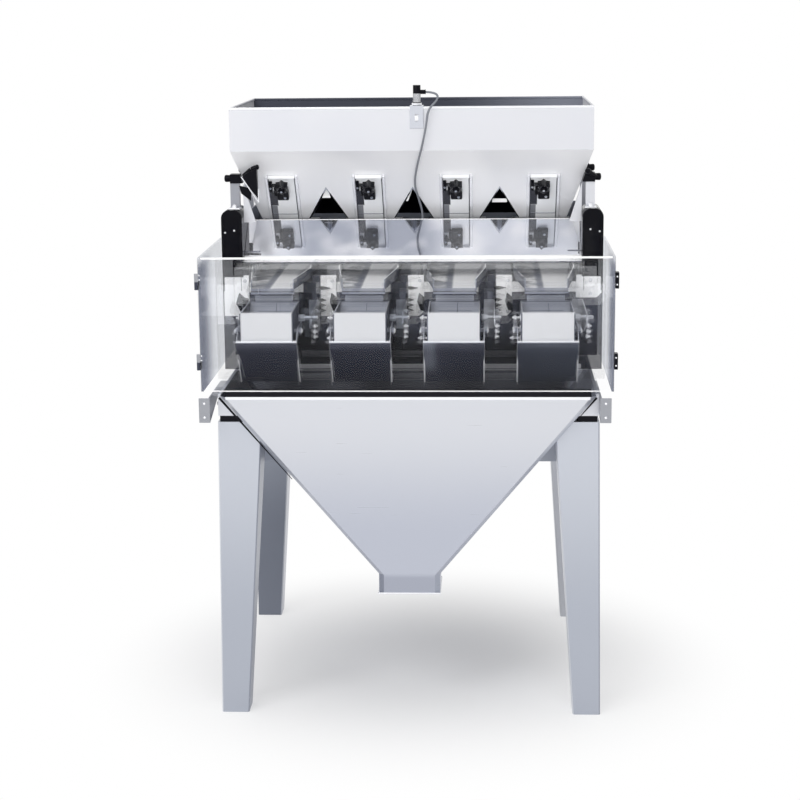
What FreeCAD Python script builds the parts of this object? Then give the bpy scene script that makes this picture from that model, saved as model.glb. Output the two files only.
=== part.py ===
import FreeCAD, Part
import math
import os
import re
import Sketcher

# A linear weigher with four heads, in millimetres. +Z is up, the front looks along -Y, and the
# origin is on the floor under the middle of the machine. Names in the formulas are the names of
# the sizes below.
SIZES = {
    # plan
    "head_spacing": 210.0,
    "end_margin": 40.0,
    "front_y": -415.0,
    "rear_y": 415.0,
    "seat_gap": 0.3,
    # legs and frame
    "leg_height": 700.0,
    "leg_step": 2.0,
    "leg_top": 101.0,
    "leg_foot": 64.0,
    "leg_splay": 10.0,
    "leg_setback": 57.0,
    "leg_bend": 3.0,
    "pad_height": 14.0,
    "pad_inset": 3.0,
    "rail_height": 50.0,
    "rail_width": 60.0,
    "rail_inset": 29.0,
    # corner brackets
    "ear_front": -404.0,
    "ear_back": -200.0,
    "ear_width": 25.0,
    "ear_offset": 12.0,
    "ear_drop": 6.0,
    "ear_sheet": 4.0,
    # cabinet and drive housing
    "cabinet_inset": 26.0,
    "cabinet_height": 179.0,
    "cabinet_rear": 300.0,
    "panel_inset": 22.0,
    "panel_sheet": 3.0,
    "lock_size": 22.0,
    "lock_depth": 9.0,
    "housing_front": -60.0,
    "housing_rear": 340.0,
    "housing_height": 188.0,
    "sill_depth": 12.0,
    "sill_height": 10.0,
    # collecting funnel
    "cradle_edge": 7.0,
    "funnel_front": -388.0,
    "funnel_back": -66.0,
    "funnel_height": 430.0,
    "funnel_wall": 2.5,
    "funnel_corner": 12.0,
    "neck_width": 142.0,
    "neck_front": -345.0,
    "neck_depth": 130.0,
    "neck_height": 46.0,
    # guard
    "guard_lift": 17.0,
    "guard_height": 302.0,
    "guard_sheet": 5.0,
    "guard_lap": 22.0,
    "seal_depth": 12.0,
    "hinge_size": 8.0,
    "hinge_length": 36.0,
    "hinge_lift": 49.0,
    "hinge_spacing": 181.0,
    "leaf_width": 22.0,
    "leaf_sheet": 2.0,
    # covers and ends
    "cover_front": -38.0,
    "cover_back": 59.0,
    "cover_lift": 77.0,
    "cover_rise": 84.0,
    "cover_sheet": 2.5,
    "cover_lip": 12.0,
    "end_front": -60.0,
    "end_depth": 122.0,
    "end_width": 50.0,
    "end_height": 198.0,
    "end_round": 20.0,
    "rear_cover_y": 262.0,
    "rear_cover_rise": 24.0,
    # storage hopper
    "hopper_inset": 30.0,
    "hopper_front": -54.0,
    "hopper_lift": 160.0,
    "hopper_wall": 102.0,
    "hopper_sheet": 3.0,
    "slope_run": 152.0,
    "slope_height": 176.0,
    "chute_depth": 120.0,
    "side_run": 56.0,
    "notch_height": 84.0,
    "notch_width": 98.0,
    "post_step": 6.0,
    "post_width": 22.0,
    "post_depth": 20.0,
    "post_reach": 98.0,
    "post_front": -20.0,
    "post_rear": 240.0,
    "clamp_height": 22.0,
    "clamp_margin": 5.0,
    "gusset_sheet": 4.0,
    "gusset_lift": 4.0,
    # gates
    "gate_width": 64.0,
    "gate_length": 186.0,
    "gate_sheet": 3.0,
    "gate_play": 1.0,
    "gate_start": 80.0,
    "gate_fold": 7.0,
    "guide_width": 6.0,
    "guide_depth": 7.0,
    "knob_size": 34.0,
    "knob_depth": 22.0,
    "knob_drop": 27.0,
    "lever_width": 7.0,
    "lever_length": 30.0,
    # feeder pans
    "pan_width": 100.0,
    "pan_flare": 22.0,
    "pan_wall": 24.0,
    "pan_lip": 11.0,
    "pan_sheet": 2.5,
    "pan_front": -235.0,
    "pan_back": 250.0,
    "chute_gap": 14.0,
    "shelf_height": 41.0,
    "shelf_sheet": 3.0,
    "shelf_foot": 20.0,
    "shelf_play": 4.0,
    "flap_width": 40.0,
    "flap_height": 98.0,
    "flap_corner": 12.0,
    "drive_width": 60.0,
    "drive_height": 33.0,
    "drive_front": -30.0,
    "drive_back": 190.0,
    # weigh buckets
    "bucket_gap": 33.0,
    "bucket_width": 117.0,
    "bucket_front": -376.0,
    "bucket_back": -206.0,
    "bucket_face": 68.0,
    "bucket_height": 166.0,
    "bucket_sheet": 2.5,
    "mouth_back": -306.0,
    "hook_width": 88.0,
    "hook_height": 15.0,
    "door_width": 137.0,
    "door_sheet": 2.0,
    "door_gap": 1.5,
    "pivot_y": -330.0,
    "pivot_drop": 47.0,
    "pin_size": 10.0,
    "pin_play": 0.3,
    "pin_head": 16.0,
    "pin_cap": 4.0,
    "arm_length": 78.0,
    "hanger_width": 50.0,
    "hanger_low": 86.0,
    "hanger_high": 22.0,
    # door pushers
    "pusher_x": 90.0,
    "pusher_sheet": 3.0,
    "pusher_foot": 26.0,
    "pusher_high": 18.0,
    "pusher_low": 88.0,
    "pusher_nose": 13.0,
    "roller_size": 16.0,
    "roller_gap": 1.0,
    "roller_length": 14.0,
    "roller_inset": 10.0,
    "stud_size": 10.0,
    "stud_reach": 11.0,
    # sensor
    "sensor_x": 14.0,
    "sensor_size": 18.0,
    "sensor_length": 78.0,
    "sensor_rise": 50.0,
    "sensor_plug": 12.0,
    "tab_width": 32.0,
    "tab_height": 50.0,
    "tab_reach": 34.0,
    "tab_sheet": 2.5,
    "cable_size": 5.0,
    "cable_lift": 34.0,
    "cable_reach": 34.0,
    "cable_sway": 23.0,
    "cable_stand": 14.0,
    "gland_x": 18.0,
    "gland_y": 84.0,
    "gland_size": 16.0,
    "gland_height": 22.0,
}
HEADS = (1, 2, 3, 4)
WORD = re.compile(r"[a-z]+(?:_[a-z]+)*")

# Half widths that several pieces share.
GUARD_HALF = "(2 * head_spacing + end_margin)"
GUARD_INNER = f"({GUARD_HALF} - guard_sheet)"
RAIL_HALF = f"({GUARD_HALF} - rail_inset)"
LEG_HALF = f"({RAIL_HALF} + leg_step)"
FUNNEL_HALF = f"({RAIL_HALF} - cradle_edge)"
CABINET_HALF = f"({RAIL_HALF} - cabinet_inset)"
COVER_HALF = f"({GUARD_INNER} - end_width)"
HOPPER_HALF = f"({GUARD_HALF} - hopper_inset)"
POST_OUTER = f"({HOPPER_HALF} + post_step)"

# Levels, from the floor up.
RAIL_LOW = "(leg_height + pad_height)"
RAIL_TOP = f"({RAIL_LOW} + rail_height)"
GUARD_LOW = f"({RAIL_TOP} + guard_lift)"
GUARD_TOP = f"({GUARD_LOW} + guard_height)"
DECK = f"({RAIL_TOP} + housing_height)"
PAN_LOW = f"({DECK} + drive_height)"
BUCKET_TOP = f"({PAN_LOW} - bucket_gap)"
MOUTH_TOP = f"({BUCKET_TOP} - bucket_face)"
MOUTH_LOW = f"({BUCKET_TOP} - bucket_height)"
PIVOT_Z = f"({BUCKET_TOP} - pivot_drop)"
COVER_LOW = f"({DECK} + cover_lift)"
COVER_HIGH = f"({COVER_LOW} + cover_rise)"
END_TOP = f"({DECK} + end_height)"
HOPPER_BASE = f"({DECK} + hopper_lift)"
HOPPER_FOLD = f"({HOPPER_BASE} + slope_height)"
HOPPER_RIM = f"({HOPPER_FOLD} + hopper_wall)"
NOTCH_TOP = f"({HOPPER_BASE} + notch_height)"
POST_TOP = f"({HOPPER_BASE} + post_reach)"
SENSOR_TOP = f"({HOPPER_RIM} + sensor_rise)"

# Slopes and places.
LEG_FRONT = "(front_y + leg_setback)"
END_BACK = "(end_front + end_depth)"
FUNNEL_SIDE = f"(({FUNNEL_HALF} - neck_width / 2) / funnel_height)"
FRONT_SLANT = "(hopper_sheet * sqrt(slope_run ^ 2 + slope_height ^ 2) / slope_height)"
BACK_RUN = "(rear_y - hopper_front - slope_run - chute_depth)"
BACK_SLANT = f"(hopper_sheet * sqrt({BACK_RUN} ^ 2 + slope_height ^ 2) / slope_height)"

doc = FreeCAD.newDocument("linear_weigher")
sheet = doc.addObject("Spreadsheet::Sheet", "sizes")
pieces = []


def fill_sheet():
    for row, (name, value) in enumerate(SIZES.items(), 1):
        sheet.set(f"A{row}", name)
        sheet.set(f"B{row}", str(value))
        sheet.setAlias(f"B{row}", name)
    doc.recompute()


def formula(text):
    """Point each size named in a formula at its cell."""
    return WORD.sub(lambda word: f"sizes.{word[0]}" if word[0] in SIZES else word[0], str(text))


def size(name):
    return float(sheet.get(name))


def bind(thing, prop, text):
    thing.setExpression(prop, formula(text))


def head(number):
    return f"(({number} - 2.5) * head_spacing)"


def new_body(name):
    body = doc.addObject("PartDesign::Body", name)
    body.Label = name
    return body


def keep(thing, name=None):
    """Make an object a piece of its own, which gives its name to its file."""
    if name:
        thing.Label = name
    pieces.append(thing)
    return thing


def sketch_on(body, role, start):
    sketch = body.newObject("Sketcher::SketchObject", body.Name + "_sketch")
    plane = next(item for item in body.Origin.OriginFeatures if item.Role == role)
    sketch.AttachmentSupport = (plane, "")
    sketch.MapMode = "FlatFace"
    bind(sketch, "AttachmentOffset.Base.z", start)
    return sketch


def draw_outline(sketch, points):
    """Closed outline of straight lines through points that are pairs of formulas."""
    count = len(points)
    first = sketch.GeometryCount
    ring = [FreeCAD.Vector(math.cos(2 * math.pi * n / count), math.sin(2 * math.pi * n / count), 0)
            for n in range(count)]
    sketch.addGeometry([Part.LineSegment(ring[n], ring[(n + 1) % count]) for n in range(count)])
    sketch.addConstraint([Sketcher.Constraint("Coincident", first + n, 2, first + (n + 1) % count, 1)
                          for n in range(count)])
    for n, place in enumerate(points):
        for kind, start, text in zip(("DistanceX", "DistanceY"), ring[n], place):
            index = sketch.addConstraint(Sketcher.Constraint(kind, first + n, 1, start))
            bind(sketch, f"Constraints[{index}]", text)


def draw_circle(sketch, x, y, diameter):
    first = sketch.GeometryCount
    sketch.addGeometry(Part.Circle(FreeCAD.Vector(1, 1, 0), FreeCAD.Vector(0, 0, 1), 1))
    for kind, text in (("DistanceX", x), ("DistanceY", y)):
        index = sketch.addConstraint(Sketcher.Constraint(kind, first, 3, 1.0))
        bind(sketch, f"Constraints[{index}]", text)
    index = sketch.addConstraint(Sketcher.Constraint("Diameter", first, 2.0))
    bind(sketch, f"Constraints[{index}]", diameter)


def span(axis, low, high):
    """Origin plane, start and length of a feature that runs from low to high along an axis."""
    role = {"x": "YZ_Plane", "y": "XZ_Plane", "z": "XY_Plane"}[axis]
    start = f"-({high})" if axis == "y" else low
    return role, start, f"({high}) - ({low})"


def slab(body, axis, low, high, points):
    """Add an outline in the other two axes, drawn out from low to high along this one."""
    role, start, length = span(axis, low, high)
    sketch = sketch_on(body, role, start)
    draw_outline(sketch, points)
    pad = body.newObject("PartDesign::Pad", body.Name + "_pad")
    pad.Profile = sketch
    bind(pad, "Length", length)
    return pad


def post(body, axis, low, high, x, y, diameter):
    """Add a round bar along an axis."""
    role, start, length = span(axis, low, high)
    sketch = sketch_on(body, role, start)
    draw_circle(sketch, x, y, diameter)
    pad = body.newObject("PartDesign::Pad", body.Name + "_bar")
    pad.Profile = sketch
    bind(pad, "Length", length)
    return pad


def cut(body, axis, low, high, points=None, circle=None):
    """Cut an outline or a circle through the body from low to high along an axis."""
    role, start, length = span(axis, low, high)
    sketch = sketch_on(body, role, start)
    if points:
        draw_outline(sketch, points)
    if circle:
        draw_circle(sketch, *circle)
    pocket = body.newObject("PartDesign::Pocket", body.Name + "_cut")
    pocket.Profile = sketch
    pocket.Reversed = True
    bind(pocket, "Length", length)
    return pocket


def box(low, high):
    return [(low[0], low[1]), (high[0], low[1]), (high[0], high[1]), (low[0], high[1])]


def hexagon(across, up, width):
    """Outline of a hexagon, from its middle and its width over the corners."""
    return [(f"{across} + {width} / 2 * cos({60 * n})", f"{up} + {width} / 2 * sin({60 * n})")
            for n in range(6)]


def edges_of(feature, choose):
    """Names of a feature's edges that pass a test on their two ends."""
    doc.recompute()
    return [f"Edge{n}" for n, edge in enumerate(feature.Shape.Edges, 1)
            if choose(edge.Vertexes[0].Point, edge.Vertexes[-1].Point)]


def fillet(body, feature, radius, choose):
    rounding = body.newObject("PartDesign::Fillet", body.Name + "_round")
    rounding.Base = (feature, edges_of(feature, choose))
    bind(rounding, "Radius", radius)


def bevel(body, feature, width, choose):
    chamfer = body.newObject("PartDesign::Chamfer", body.Name + "_bevel")
    chamfer.Base = (feature, edges_of(feature, choose))
    bind(chamfer, "Size", width)


def runs_down(a, b):
    """True for an edge that isn't level."""
    return abs(a.z - b.z) > 1


def mirror(source, name):
    twin = doc.addObject("Part::Mirroring", name)
    twin.Source = source
    twin.Normal = FreeCAD.Vector(1, 0, 0)
    return twin


def group(name, members):
    """Like pieces on one body that share a file."""
    whole = doc.addObject("Part::Compound", name)
    whole.Links = members
    return keep(whole, name)


def pair(name, source):
    return group(name, [source, mirror(source, name + "_twin")])


def funnel_side(z):
    """Place of the cradle that holds the funnel's sloping side, at a height."""
    return f"({FUNNEL_HALF} + seat_gap - {FUNNEL_SIDE} * ({RAIL_TOP} - ({z})))"


def leg(name, face_y, inward):
    """Leg that splays outwards and tapers towards its foot, with small bends at its edges."""
    body = new_body(name)
    foot = f"{LEG_HALF} + leg_splay"
    wide = f"{face_y} + {inward} * leg_top"
    narrow = f"{face_y} + {inward} * leg_foot"
    slab(body, "y", *((face_y, wide) if inward > 0 else (wide, face_y)),
         [(f"{LEG_HALF} - leg_top", "leg_height"), (LEG_HALF, "leg_height"), (foot, "0"),
          (f"{foot} - leg_foot", "0")])
    taper = cut(body, "x", "0", f"{foot} + 1",
                [(wide, "leg_height"), (narrow, "0"), (narrow, "-1"),
                 (f"{wide} + {inward}", "-1"), (f"{wide} + {inward}", "leg_height")])
    bevel(body, taper, "leg_bend", runs_down)
    return body


def legs():
    """Four legs. The front ones are cut back beside the funnel."""
    front = leg("front_leg", LEG_FRONT, 1)
    deep = "leg_height - leg_top"
    cut(front, "y", f"{LEG_FRONT} - 1", f"{LEG_FRONT} + leg_top + 1",
        [("0", deep), (funnel_side(deep), deep), (funnel_side("leg_height + 1"), "leg_height + 1"),
         ("0", "leg_height + 1")])
    pair("front_legs", front)
    pair("rear_legs", leg("rear_leg", "rear_y", -1))


def leg_pads():
    """Rubber pads between legs and frame."""
    pads = []
    for name, low, high, inner in (
            ("front_pad", LEG_FRONT, f"{LEG_FRONT} + leg_top", funnel_side(RAIL_LOW)),
            ("rear_pad", "rear_y - leg_top", "rear_y", f"{LEG_HALF} - leg_top + pad_inset")):
        body = new_body(name)
        slab(body, "z", "leg_height", RAIL_LOW,
             box((inner, f"{low} + pad_inset"), (f"{RAIL_HALF} - pad_inset", f"{high} - pad_inset")))
        pads += [body, mirror(body, name + "_twin")]
    group("leg_pads", pads)


def frame_rails():
    """Frame on the legs. In front its sides open out in a cradle that carries the funnel."""
    body = keep(new_body("frame_rails"))
    inner = f"({RAIL_HALF} - rail_width)"
    for y in ("housing_front", "rear_y - rail_width"):
        slab(body, "y", y, f"{y} + rail_width", box((f"-{inner}", RAIL_LOW), (inner, RAIL_TOP)))
    for side in (-1, 1):
        slab(body, "y", LEG_FRONT, "housing_front",
             [(f"{side} * {RAIL_HALF}", RAIL_LOW), (f"{side} * {RAIL_HALF}", RAIL_TOP),
              (f"{side} * {funnel_side(RAIL_TOP)}", RAIL_TOP),
              (f"{side} * {funnel_side(RAIL_LOW)}", RAIL_LOW)])
        slab(body, "y", "housing_front", "rear_y",
             box((f"{side} * {inner}", RAIL_LOW), (f"{side} * {RAIL_HALF}", RAIL_TOP)))


def corner_brackets():
    """Folded ears beside the frame's front corners. The left one stands off on a top flange."""
    brackets = []
    for name, side, offset in (("bracket_left", -1, "ear_offset"), ("bracket_right", 1, "0")):
        body = new_body(name)
        near = f"{side} * ({RAIL_HALF} + {offset})"
        web = f"{side} * ({RAIL_HALF} + {offset} + ear_sheet)"
        far = f"{side} * ({RAIL_HALF} + {offset} + ear_width)"
        low = f"{RAIL_LOW} - ear_drop"
        slab(body, "y", "ear_front", "ear_front + ear_sheet", box((near, low), (far, RAIL_TOP)))
        start, end = (web, near) if side < 0 else (near, web)
        slab(body, "x", start, end,
             [("ear_front", low), ("ear_front", RAIL_TOP), ("ear_back", RAIL_TOP),
              ("ear_back", f"{RAIL_TOP} - ear_sheet")])
        slab(body, "y", LEG_FRONT, "ear_back",
             box((f"{side} * {RAIL_HALF}", f"{RAIL_TOP} - ear_sheet"), (web, RAIL_TOP)))
        brackets.append(body)
    group("corner_brackets", brackets)


def control_cabinet():
    """Closed cabinet under the frame, with a door panel and two locks at the back."""
    body = keep(new_body("control_cabinet"))
    low = f"{RAIL_LOW} - cabinet_height"
    slab(body, "y", "housing_front", "cabinet_rear",
         box((f"-{CABINET_HALF}", low), (CABINET_HALF, RAIL_LOW)))
    panel = keep(new_body("cabinet_panel"))
    edge = f"({CABINET_HALF} - panel_inset)"
    slab(panel, "y", "cabinet_rear", "cabinet_rear + panel_sheet",
         box((f"-{edge}", f"{low} + panel_inset"), (edge, f"{RAIL_LOW} - panel_inset")))
    for level in ("1 / 3", "2 / 3"):
        post(panel, "y", "cabinet_rear", "cabinet_rear + lock_depth",
             f"{edge} - lock_size * 3 / 2", f"{low} + cabinet_height * {level}", "lock_size")


def drive_housing():
    """Closed housing of the drives, with a sill along its foot in front."""
    body = keep(new_body("drive_housing"))
    slab(body, "y", "housing_front", "housing_rear",
         box((f"-{GUARD_INNER}", RAIL_TOP), (GUARD_INNER, DECK)))
    slab(body, "y", "housing_front - sill_depth", "housing_front",
         box((f"-{COVER_HALF}", f"{RAIL_TOP} + leaf_sheet"),
             (COVER_HALF, f"{RAIL_TOP} + leaf_sheet + sill_height")))


def total(*names):
    return sum(size(name) for name in names)


def funnel_ring(half, front, back, height, inset):
    """Level outline of the funnel with bent corners, set in from its outside."""
    bend = size("funnel_corner") - inset * (2 - math.sqrt(2))
    right, near, far = half - inset, front + inset, back - inset
    return [FreeCAD.Vector(x, y, height) for x, y in (
        (right, near + bend), (right, far - bend), (right - bend, far), (bend - right, far),
        (-right, far - bend), (-right, near + bend), (bend - right, near), (right - bend, near))]


def funnel_form(inset):
    """Solid with flat sides in the form of the funnel and its neck."""
    half = total("head_spacing", "head_spacing", "end_margin") - total("rail_inset", "cradle_edge")
    neck = size("neck_width") / 2, size("neck_front"), total("neck_front", "neck_depth")
    top = total("leg_height", "pad_height", "rail_height")
    throat = top - size("funnel_height")
    rings = [funnel_ring(half, size("funnel_front"), size("funnel_back"), top, inset),
             funnel_ring(*neck, throat, inset), funnel_ring(*neck, throat - size("neck_height"), inset)]
    outlines = [rings[0], rings[-1]]
    for above, below in zip(rings, rings[1:]):
        outlines += [[above[n - 1], above[n], below[n], below[n - 1]] for n in range(len(above))]
    return Part.Solid(Part.Shell([Part.Face(Part.makePolygon(line + line[:1])) for line in outlines]))


def collecting_funnel():
    """Funnel of folded sheet with a straight neck, open at the top and below."""
    funnel = doc.addObject("Part::Feature", "collecting_funnel")
    funnel.Shape = funnel_form(0).cut(funnel_form(size("funnel_wall")))
    keep(funnel)


def guard():
    """Clear guard: a door in front, two fixed side panes and a seal under the door."""
    door = keep(new_body("guard_door"))
    slab(door, "y", "front_y", "front_y + guard_sheet",
         box((f"-{GUARD_HALF}", GUARD_LOW), (GUARD_HALF, GUARD_TOP)))
    pane = new_body("guard_pane")
    slab(pane, "x", GUARD_INNER, GUARD_HALF,
         box(("front_y + guard_sheet + door_gap", GUARD_LOW), ("housing_front + guard_lap", GUARD_TOP)))
    pair("guard_sides", pane)
    seal = keep(new_body("guard_seal"))
    edge = f"({FUNNEL_HALF} - seal_depth)"
    slab(seal, "y", "funnel_front", "funnel_front + seal_depth",
         box((f"-{edge}", RAIL_TOP), (edge, f"{GUARD_LOW} - door_gap")))


def guard_fittings():
    """Hinges at the left, with pins on the side pane and eyes on the door, and clips at the right."""
    axis_x = f"-{GUARD_HALF} - hinge_size / 2 - seat_gap"
    axis_y = "front_y + guard_sheet"
    pins = []
    eyes = []
    clips = []
    for number in range(2):
        low = f"{GUARD_LOW} + hinge_lift + {number} * hinge_spacing"
        middle = f"{low} + hinge_length / 2"
        pin = new_body(f"hinge_pin_{number + 1}")
        post(pin, "z", low, f"{middle} - seat_gap", axis_x, axis_y, "hinge_size")
        slab(pin, "z", low, f"{middle} - seat_gap",
             box((f"-{GUARD_HALF} - leaf_sheet", axis_y), (f"-{GUARD_HALF}", f"{axis_y} + leaf_width")))
        pins.append(pin)
        eye = new_body(f"hinge_eye_{number + 1}")
        post(eye, "z", middle, f"{low} + hinge_length", axis_x, axis_y, "hinge_size")
        slab(eye, "z", middle, f"{low} + hinge_length",
             box((axis_x, "front_y"), (f"-{GUARD_HALF}", "front_y + leaf_sheet")))
        eyes.append(eye)
        clip = new_body(f"clip_{number + 1}")
        start = "front_y + guard_sheet + door_gap"
        slab(clip, "z", low, f"{low} + hinge_length",
             box((GUARD_HALF, start), (f"{GUARD_HALF} + hinge_size + seat_gap", f"{start} + leaf_width")))
        clips.append(clip)
    group("hinge_pins", pins)
    group("hinge_eyes", eyes)
    group("guard_latches", clips)


def upper_cover():
    """Sloping cover over the pans, with a turned-down lip in front."""
    body = keep(new_body("upper_cover"))
    slab(body, "x", f"-{COVER_HALF} + seat_gap", f"{COVER_HALF} - seat_gap",
         [("cover_front", f"{COVER_LOW} - cover_lip"), ("cover_front", COVER_LOW),
          ("cover_back", COVER_HIGH),
          ("cover_back + cover_sheet", f"{COVER_HIGH} - cover_sheet"),
          ("cover_front + cover_sheet", f"{COVER_LOW} - cover_sheet / 2"),
          ("cover_front + cover_sheet", f"{COVER_LOW} - cover_lip")])


def end_covers():
    """Covers at both ends of the pans, rounded along their top edges."""
    body = new_body("end_cover")
    block = slab(body, "y", "end_front", END_BACK, box((COVER_HALF, DECK), (GUARD_INNER, END_TOP)))
    doc.recompute()
    top = block.Shape.BoundBox.ZMax
    fillet(body, block, "end_round", lambda a, b: min(a.z, b.z) > top - 1 and abs(a.y - b.y) > 1)
    pair("end_covers", body)


def rear_cover():
    """Folded sheet round the back of the pans, from one end cover to the other."""
    body = keep(new_body("rear_cover"))
    inner = f"({COVER_HALF} - cover_sheet)"
    front = f"{END_BACK} + seat_gap"
    slab(body, "z", DECK, f"{HOPPER_BASE} + rear_cover_rise",
         [(f"-{COVER_HALF}", front), (f"-{inner}", front), (f"-{inner}", "rear_cover_y"),
          (inner, "rear_cover_y"), (inner, front), (COVER_HALF, front),
          (COVER_HALF, "rear_cover_y + cover_sheet"), (f"-{COVER_HALF}", "rear_cover_y + cover_sheet")])


def hopper_face(z):
    """Outer face of the hopper's sloping side, at a height, with the gap of its seat."""
    return f"({HOPPER_HALF} + seat_gap - side_run * ({HOPPER_FOLD} - ({z})) / slope_height)"


def hopper_supports():
    """Posts, clamps that bear on the hopper's sloping sides, and gussets beside the end covers."""
    posts = []
    clamps = []
    clamp_top = f"{POST_TOP} + clamp_height"
    for name, start, foot in (("front", "post_front", END_TOP), ("rear", "post_rear", DECK)):
        column = new_body(f"post_{name}")
        slab(column, "z", foot, POST_TOP,
             box((f"{POST_OUTER} - post_width", start), (POST_OUTER, f"{start} + post_depth")))
        clamp = new_body(f"clamp_{name}")
        slab(clamp, "y", f"{start} - clamp_margin", f"{start} + post_depth + clamp_margin",
             [(POST_OUTER, POST_TOP), (POST_OUTER, clamp_top), (hopper_face(clamp_top), clamp_top),
              (hopper_face(POST_TOP), POST_TOP)])
        posts += [column, mirror(column, f"post_{name}_twin")]
        clamps += [clamp, mirror(clamp, f"clamp_{name}_twin")]
    gusset = new_body("gusset")
    low = f"{HOPPER_BASE} + gusset_lift"
    slab(gusset, "y", "post_front", "post_front + gusset_sheet",
         [(hopper_face(low), low), (COVER_HALF, low), (COVER_HALF, POST_TOP),
          (hopper_face(POST_TOP), POST_TOP)])
    posts += [gusset, mirror(gusset, "gusset_twin")]
    group("hopper_posts", posts)
    group("post_clamps", clamps)


def wall_points(front):
    """Inner and outer corners of the hopper's front or back wall where it slopes."""
    if front:
        return "hopper_front", 1, "slope_run", FRONT_SLANT
    return "rear_y", -1, f"-{BACK_RUN}", BACK_SLANT


def inner_fold(run, slant):
    return f"{HOPPER_FOLD} - ({slant} - hopper_sheet) * slope_height / abs({run})"


def hopper_wall(name, front):
    """Front or back wall: upright above the fold, sloping in below it. The front has three notches."""
    body = keep(new_body(name))
    face, inner, run, slant = wall_points(front)
    slab(body, "x", f"-{HOPPER_HALF}", HOPPER_HALF,
         [(face, HOPPER_RIM), (face, HOPPER_FOLD), (f"{face} + {run}", HOPPER_BASE),
          (f"{face} + {run} + {inner} * {slant}", HOPPER_BASE),
          (f"{face} + {inner} * hopper_sheet", inner_fold(run, slant)),
          (f"{face} + {inner} * hopper_sheet", HOPPER_RIM)])
    for side in (-1, 1):
        corner = f"{side} * ({HOPPER_HALF} - side_run)"
        cut(body, "y", "hopper_front - 1", "rear_y + 1",
            [(f"{side} * {HOPPER_HALF}", HOPPER_FOLD), (corner, HOPPER_BASE),
             (corner, f"{HOPPER_BASE} - 1"), (f"{side} * ({HOPPER_HALF} + 1)", f"{HOPPER_BASE} - 1"),
             (f"{side} * ({HOPPER_HALF} + 1)", HOPPER_FOLD)])
    for number in (-1, 0, 1) if front else ():
        middle = f"{number} * head_spacing"
        cut(body, "y", "hopper_front - 1", "rear_y + 1",
            [(f"{middle} - notch_width / 2", HOPPER_BASE), (middle, NOTCH_TOP),
             (f"{middle} + notch_width / 2", HOPPER_BASE),
             (f"{middle} + notch_width / 2", f"{HOPPER_BASE} - 1"),
             (f"{middle} - notch_width / 2", f"{HOPPER_BASE} - 1")])


def trim_between_slopes(body):
    """Cut away what lies outside the inner faces of the hopper's sloping front and back."""
    for front in (True, False):
        face, inner, run, slant = wall_points(front)
        cut(body, "x", f"-{HOPPER_HALF} - 1", f"{HOPPER_HALF} + 1",
            [(f"{face} + {inner} * hopper_sheet", inner_fold(run, slant)),
             (f"{face} + {run} + {inner} * {slant}", HOPPER_BASE),
             (f"{face} + {run} + {inner} * {slant}", f"{HOPPER_BASE} - 1"),
             (f"{face} - {inner}", f"{HOPPER_BASE} - 1"),
             (f"{face} - {inner}", f"{HOPPER_FOLD} + 1"),
             (f"{face} + {inner} * hopper_sheet", f"{HOPPER_FOLD} + 1")])


def hopper_sides():
    body = new_body("hopper_side")
    corner = f"{HOPPER_HALF} - side_run"
    slab(body, "y", "hopper_front + hopper_sheet", "rear_y - hopper_sheet",
         [(HOPPER_HALF, HOPPER_RIM), (HOPPER_HALF, HOPPER_FOLD), (corner, HOPPER_BASE),
          (f"{corner} - hopper_sheet", HOPPER_BASE),
          (f"{HOPPER_HALF} - hopper_sheet", HOPPER_FOLD),
          (f"{HOPPER_HALF} - hopper_sheet", HOPPER_RIM)])
    trim_between_slopes(body)
    pair("hopper_sides", body)


def hopper_dividers():
    """Ridges that part the product between the four chutes."""
    ridges = []
    for number in (-1, 0, 1):
        middle = f"{number} * head_spacing"
        body = new_body(f"ridge_{number + 2}")
        slab(body, "y", "hopper_front", "rear_y",
             [(middle, NOTCH_TOP), (f"{middle} + notch_width / 2", HOPPER_BASE),
              (f"{middle} + notch_width / 2 - hopper_sheet", HOPPER_BASE),
              (middle, f"{NOTCH_TOP} - 2 * hopper_sheet"),
              (f"{middle} - notch_width / 2 + hopper_sheet", HOPPER_BASE),
              (f"{middle} - notch_width / 2", HOPPER_BASE)])
        trim_between_slopes(body)
        ridges.append(body)
    group("hopper_dividers", ridges)


def on_slope(body):
    """Turn a body that is drawn flat so that it lies on the hopper's sloping front."""
    bind(body, "Placement.Rotation.Axis.x", "1")
    bind(body, "Placement.Rotation.Axis.z", "0")
    bind(body, "Placement.Rotation.Angle", "atan(slope_run / slope_height)")
    bind(body, "Placement.Base.y", "hopper_front")
    bind(body, "Placement.Base.z", HOPPER_FOLD)


def gate(number):
    """Slide gate with a folded top edge, and a star knob on a lever."""
    x = head(number)
    body = keep(new_body(f"gate_plate_{number}"))
    outer = "-gate_play - gate_sheet"
    slab(body, "y", outer, "-gate_play",
         box((f"{x} - gate_width / 2", "-gate_start - gate_length"),
             (f"{x} + gate_width / 2", "-gate_start")))
    slab(body, "y", f"{outer} - gate_fold", outer,
         box((f"{x} - gate_width / 2", "-gate_start - gate_sheet"), (f"{x} + gate_width / 2", "-gate_start")))
    knob_z = "(-gate_start - knob_drop)"
    star = []
    for point in range(12):
        reach = f"knob_size / {2 if point % 2 else 3}"
        star.append((f"{x} + {reach} * cos({30 * point})", f"{knob_z} + {reach} * sin({30 * point})"))
    slab(body, "y", f"{outer} - knob_depth", outer, star)
    slab(body, "y", f"{outer} - gate_fold", outer,
         box((f"{x} - lever_length", f"{knob_z} - lever_width / 2"), (x, f"{knob_z} + lever_width / 2")))
    on_slope(body)


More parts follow.
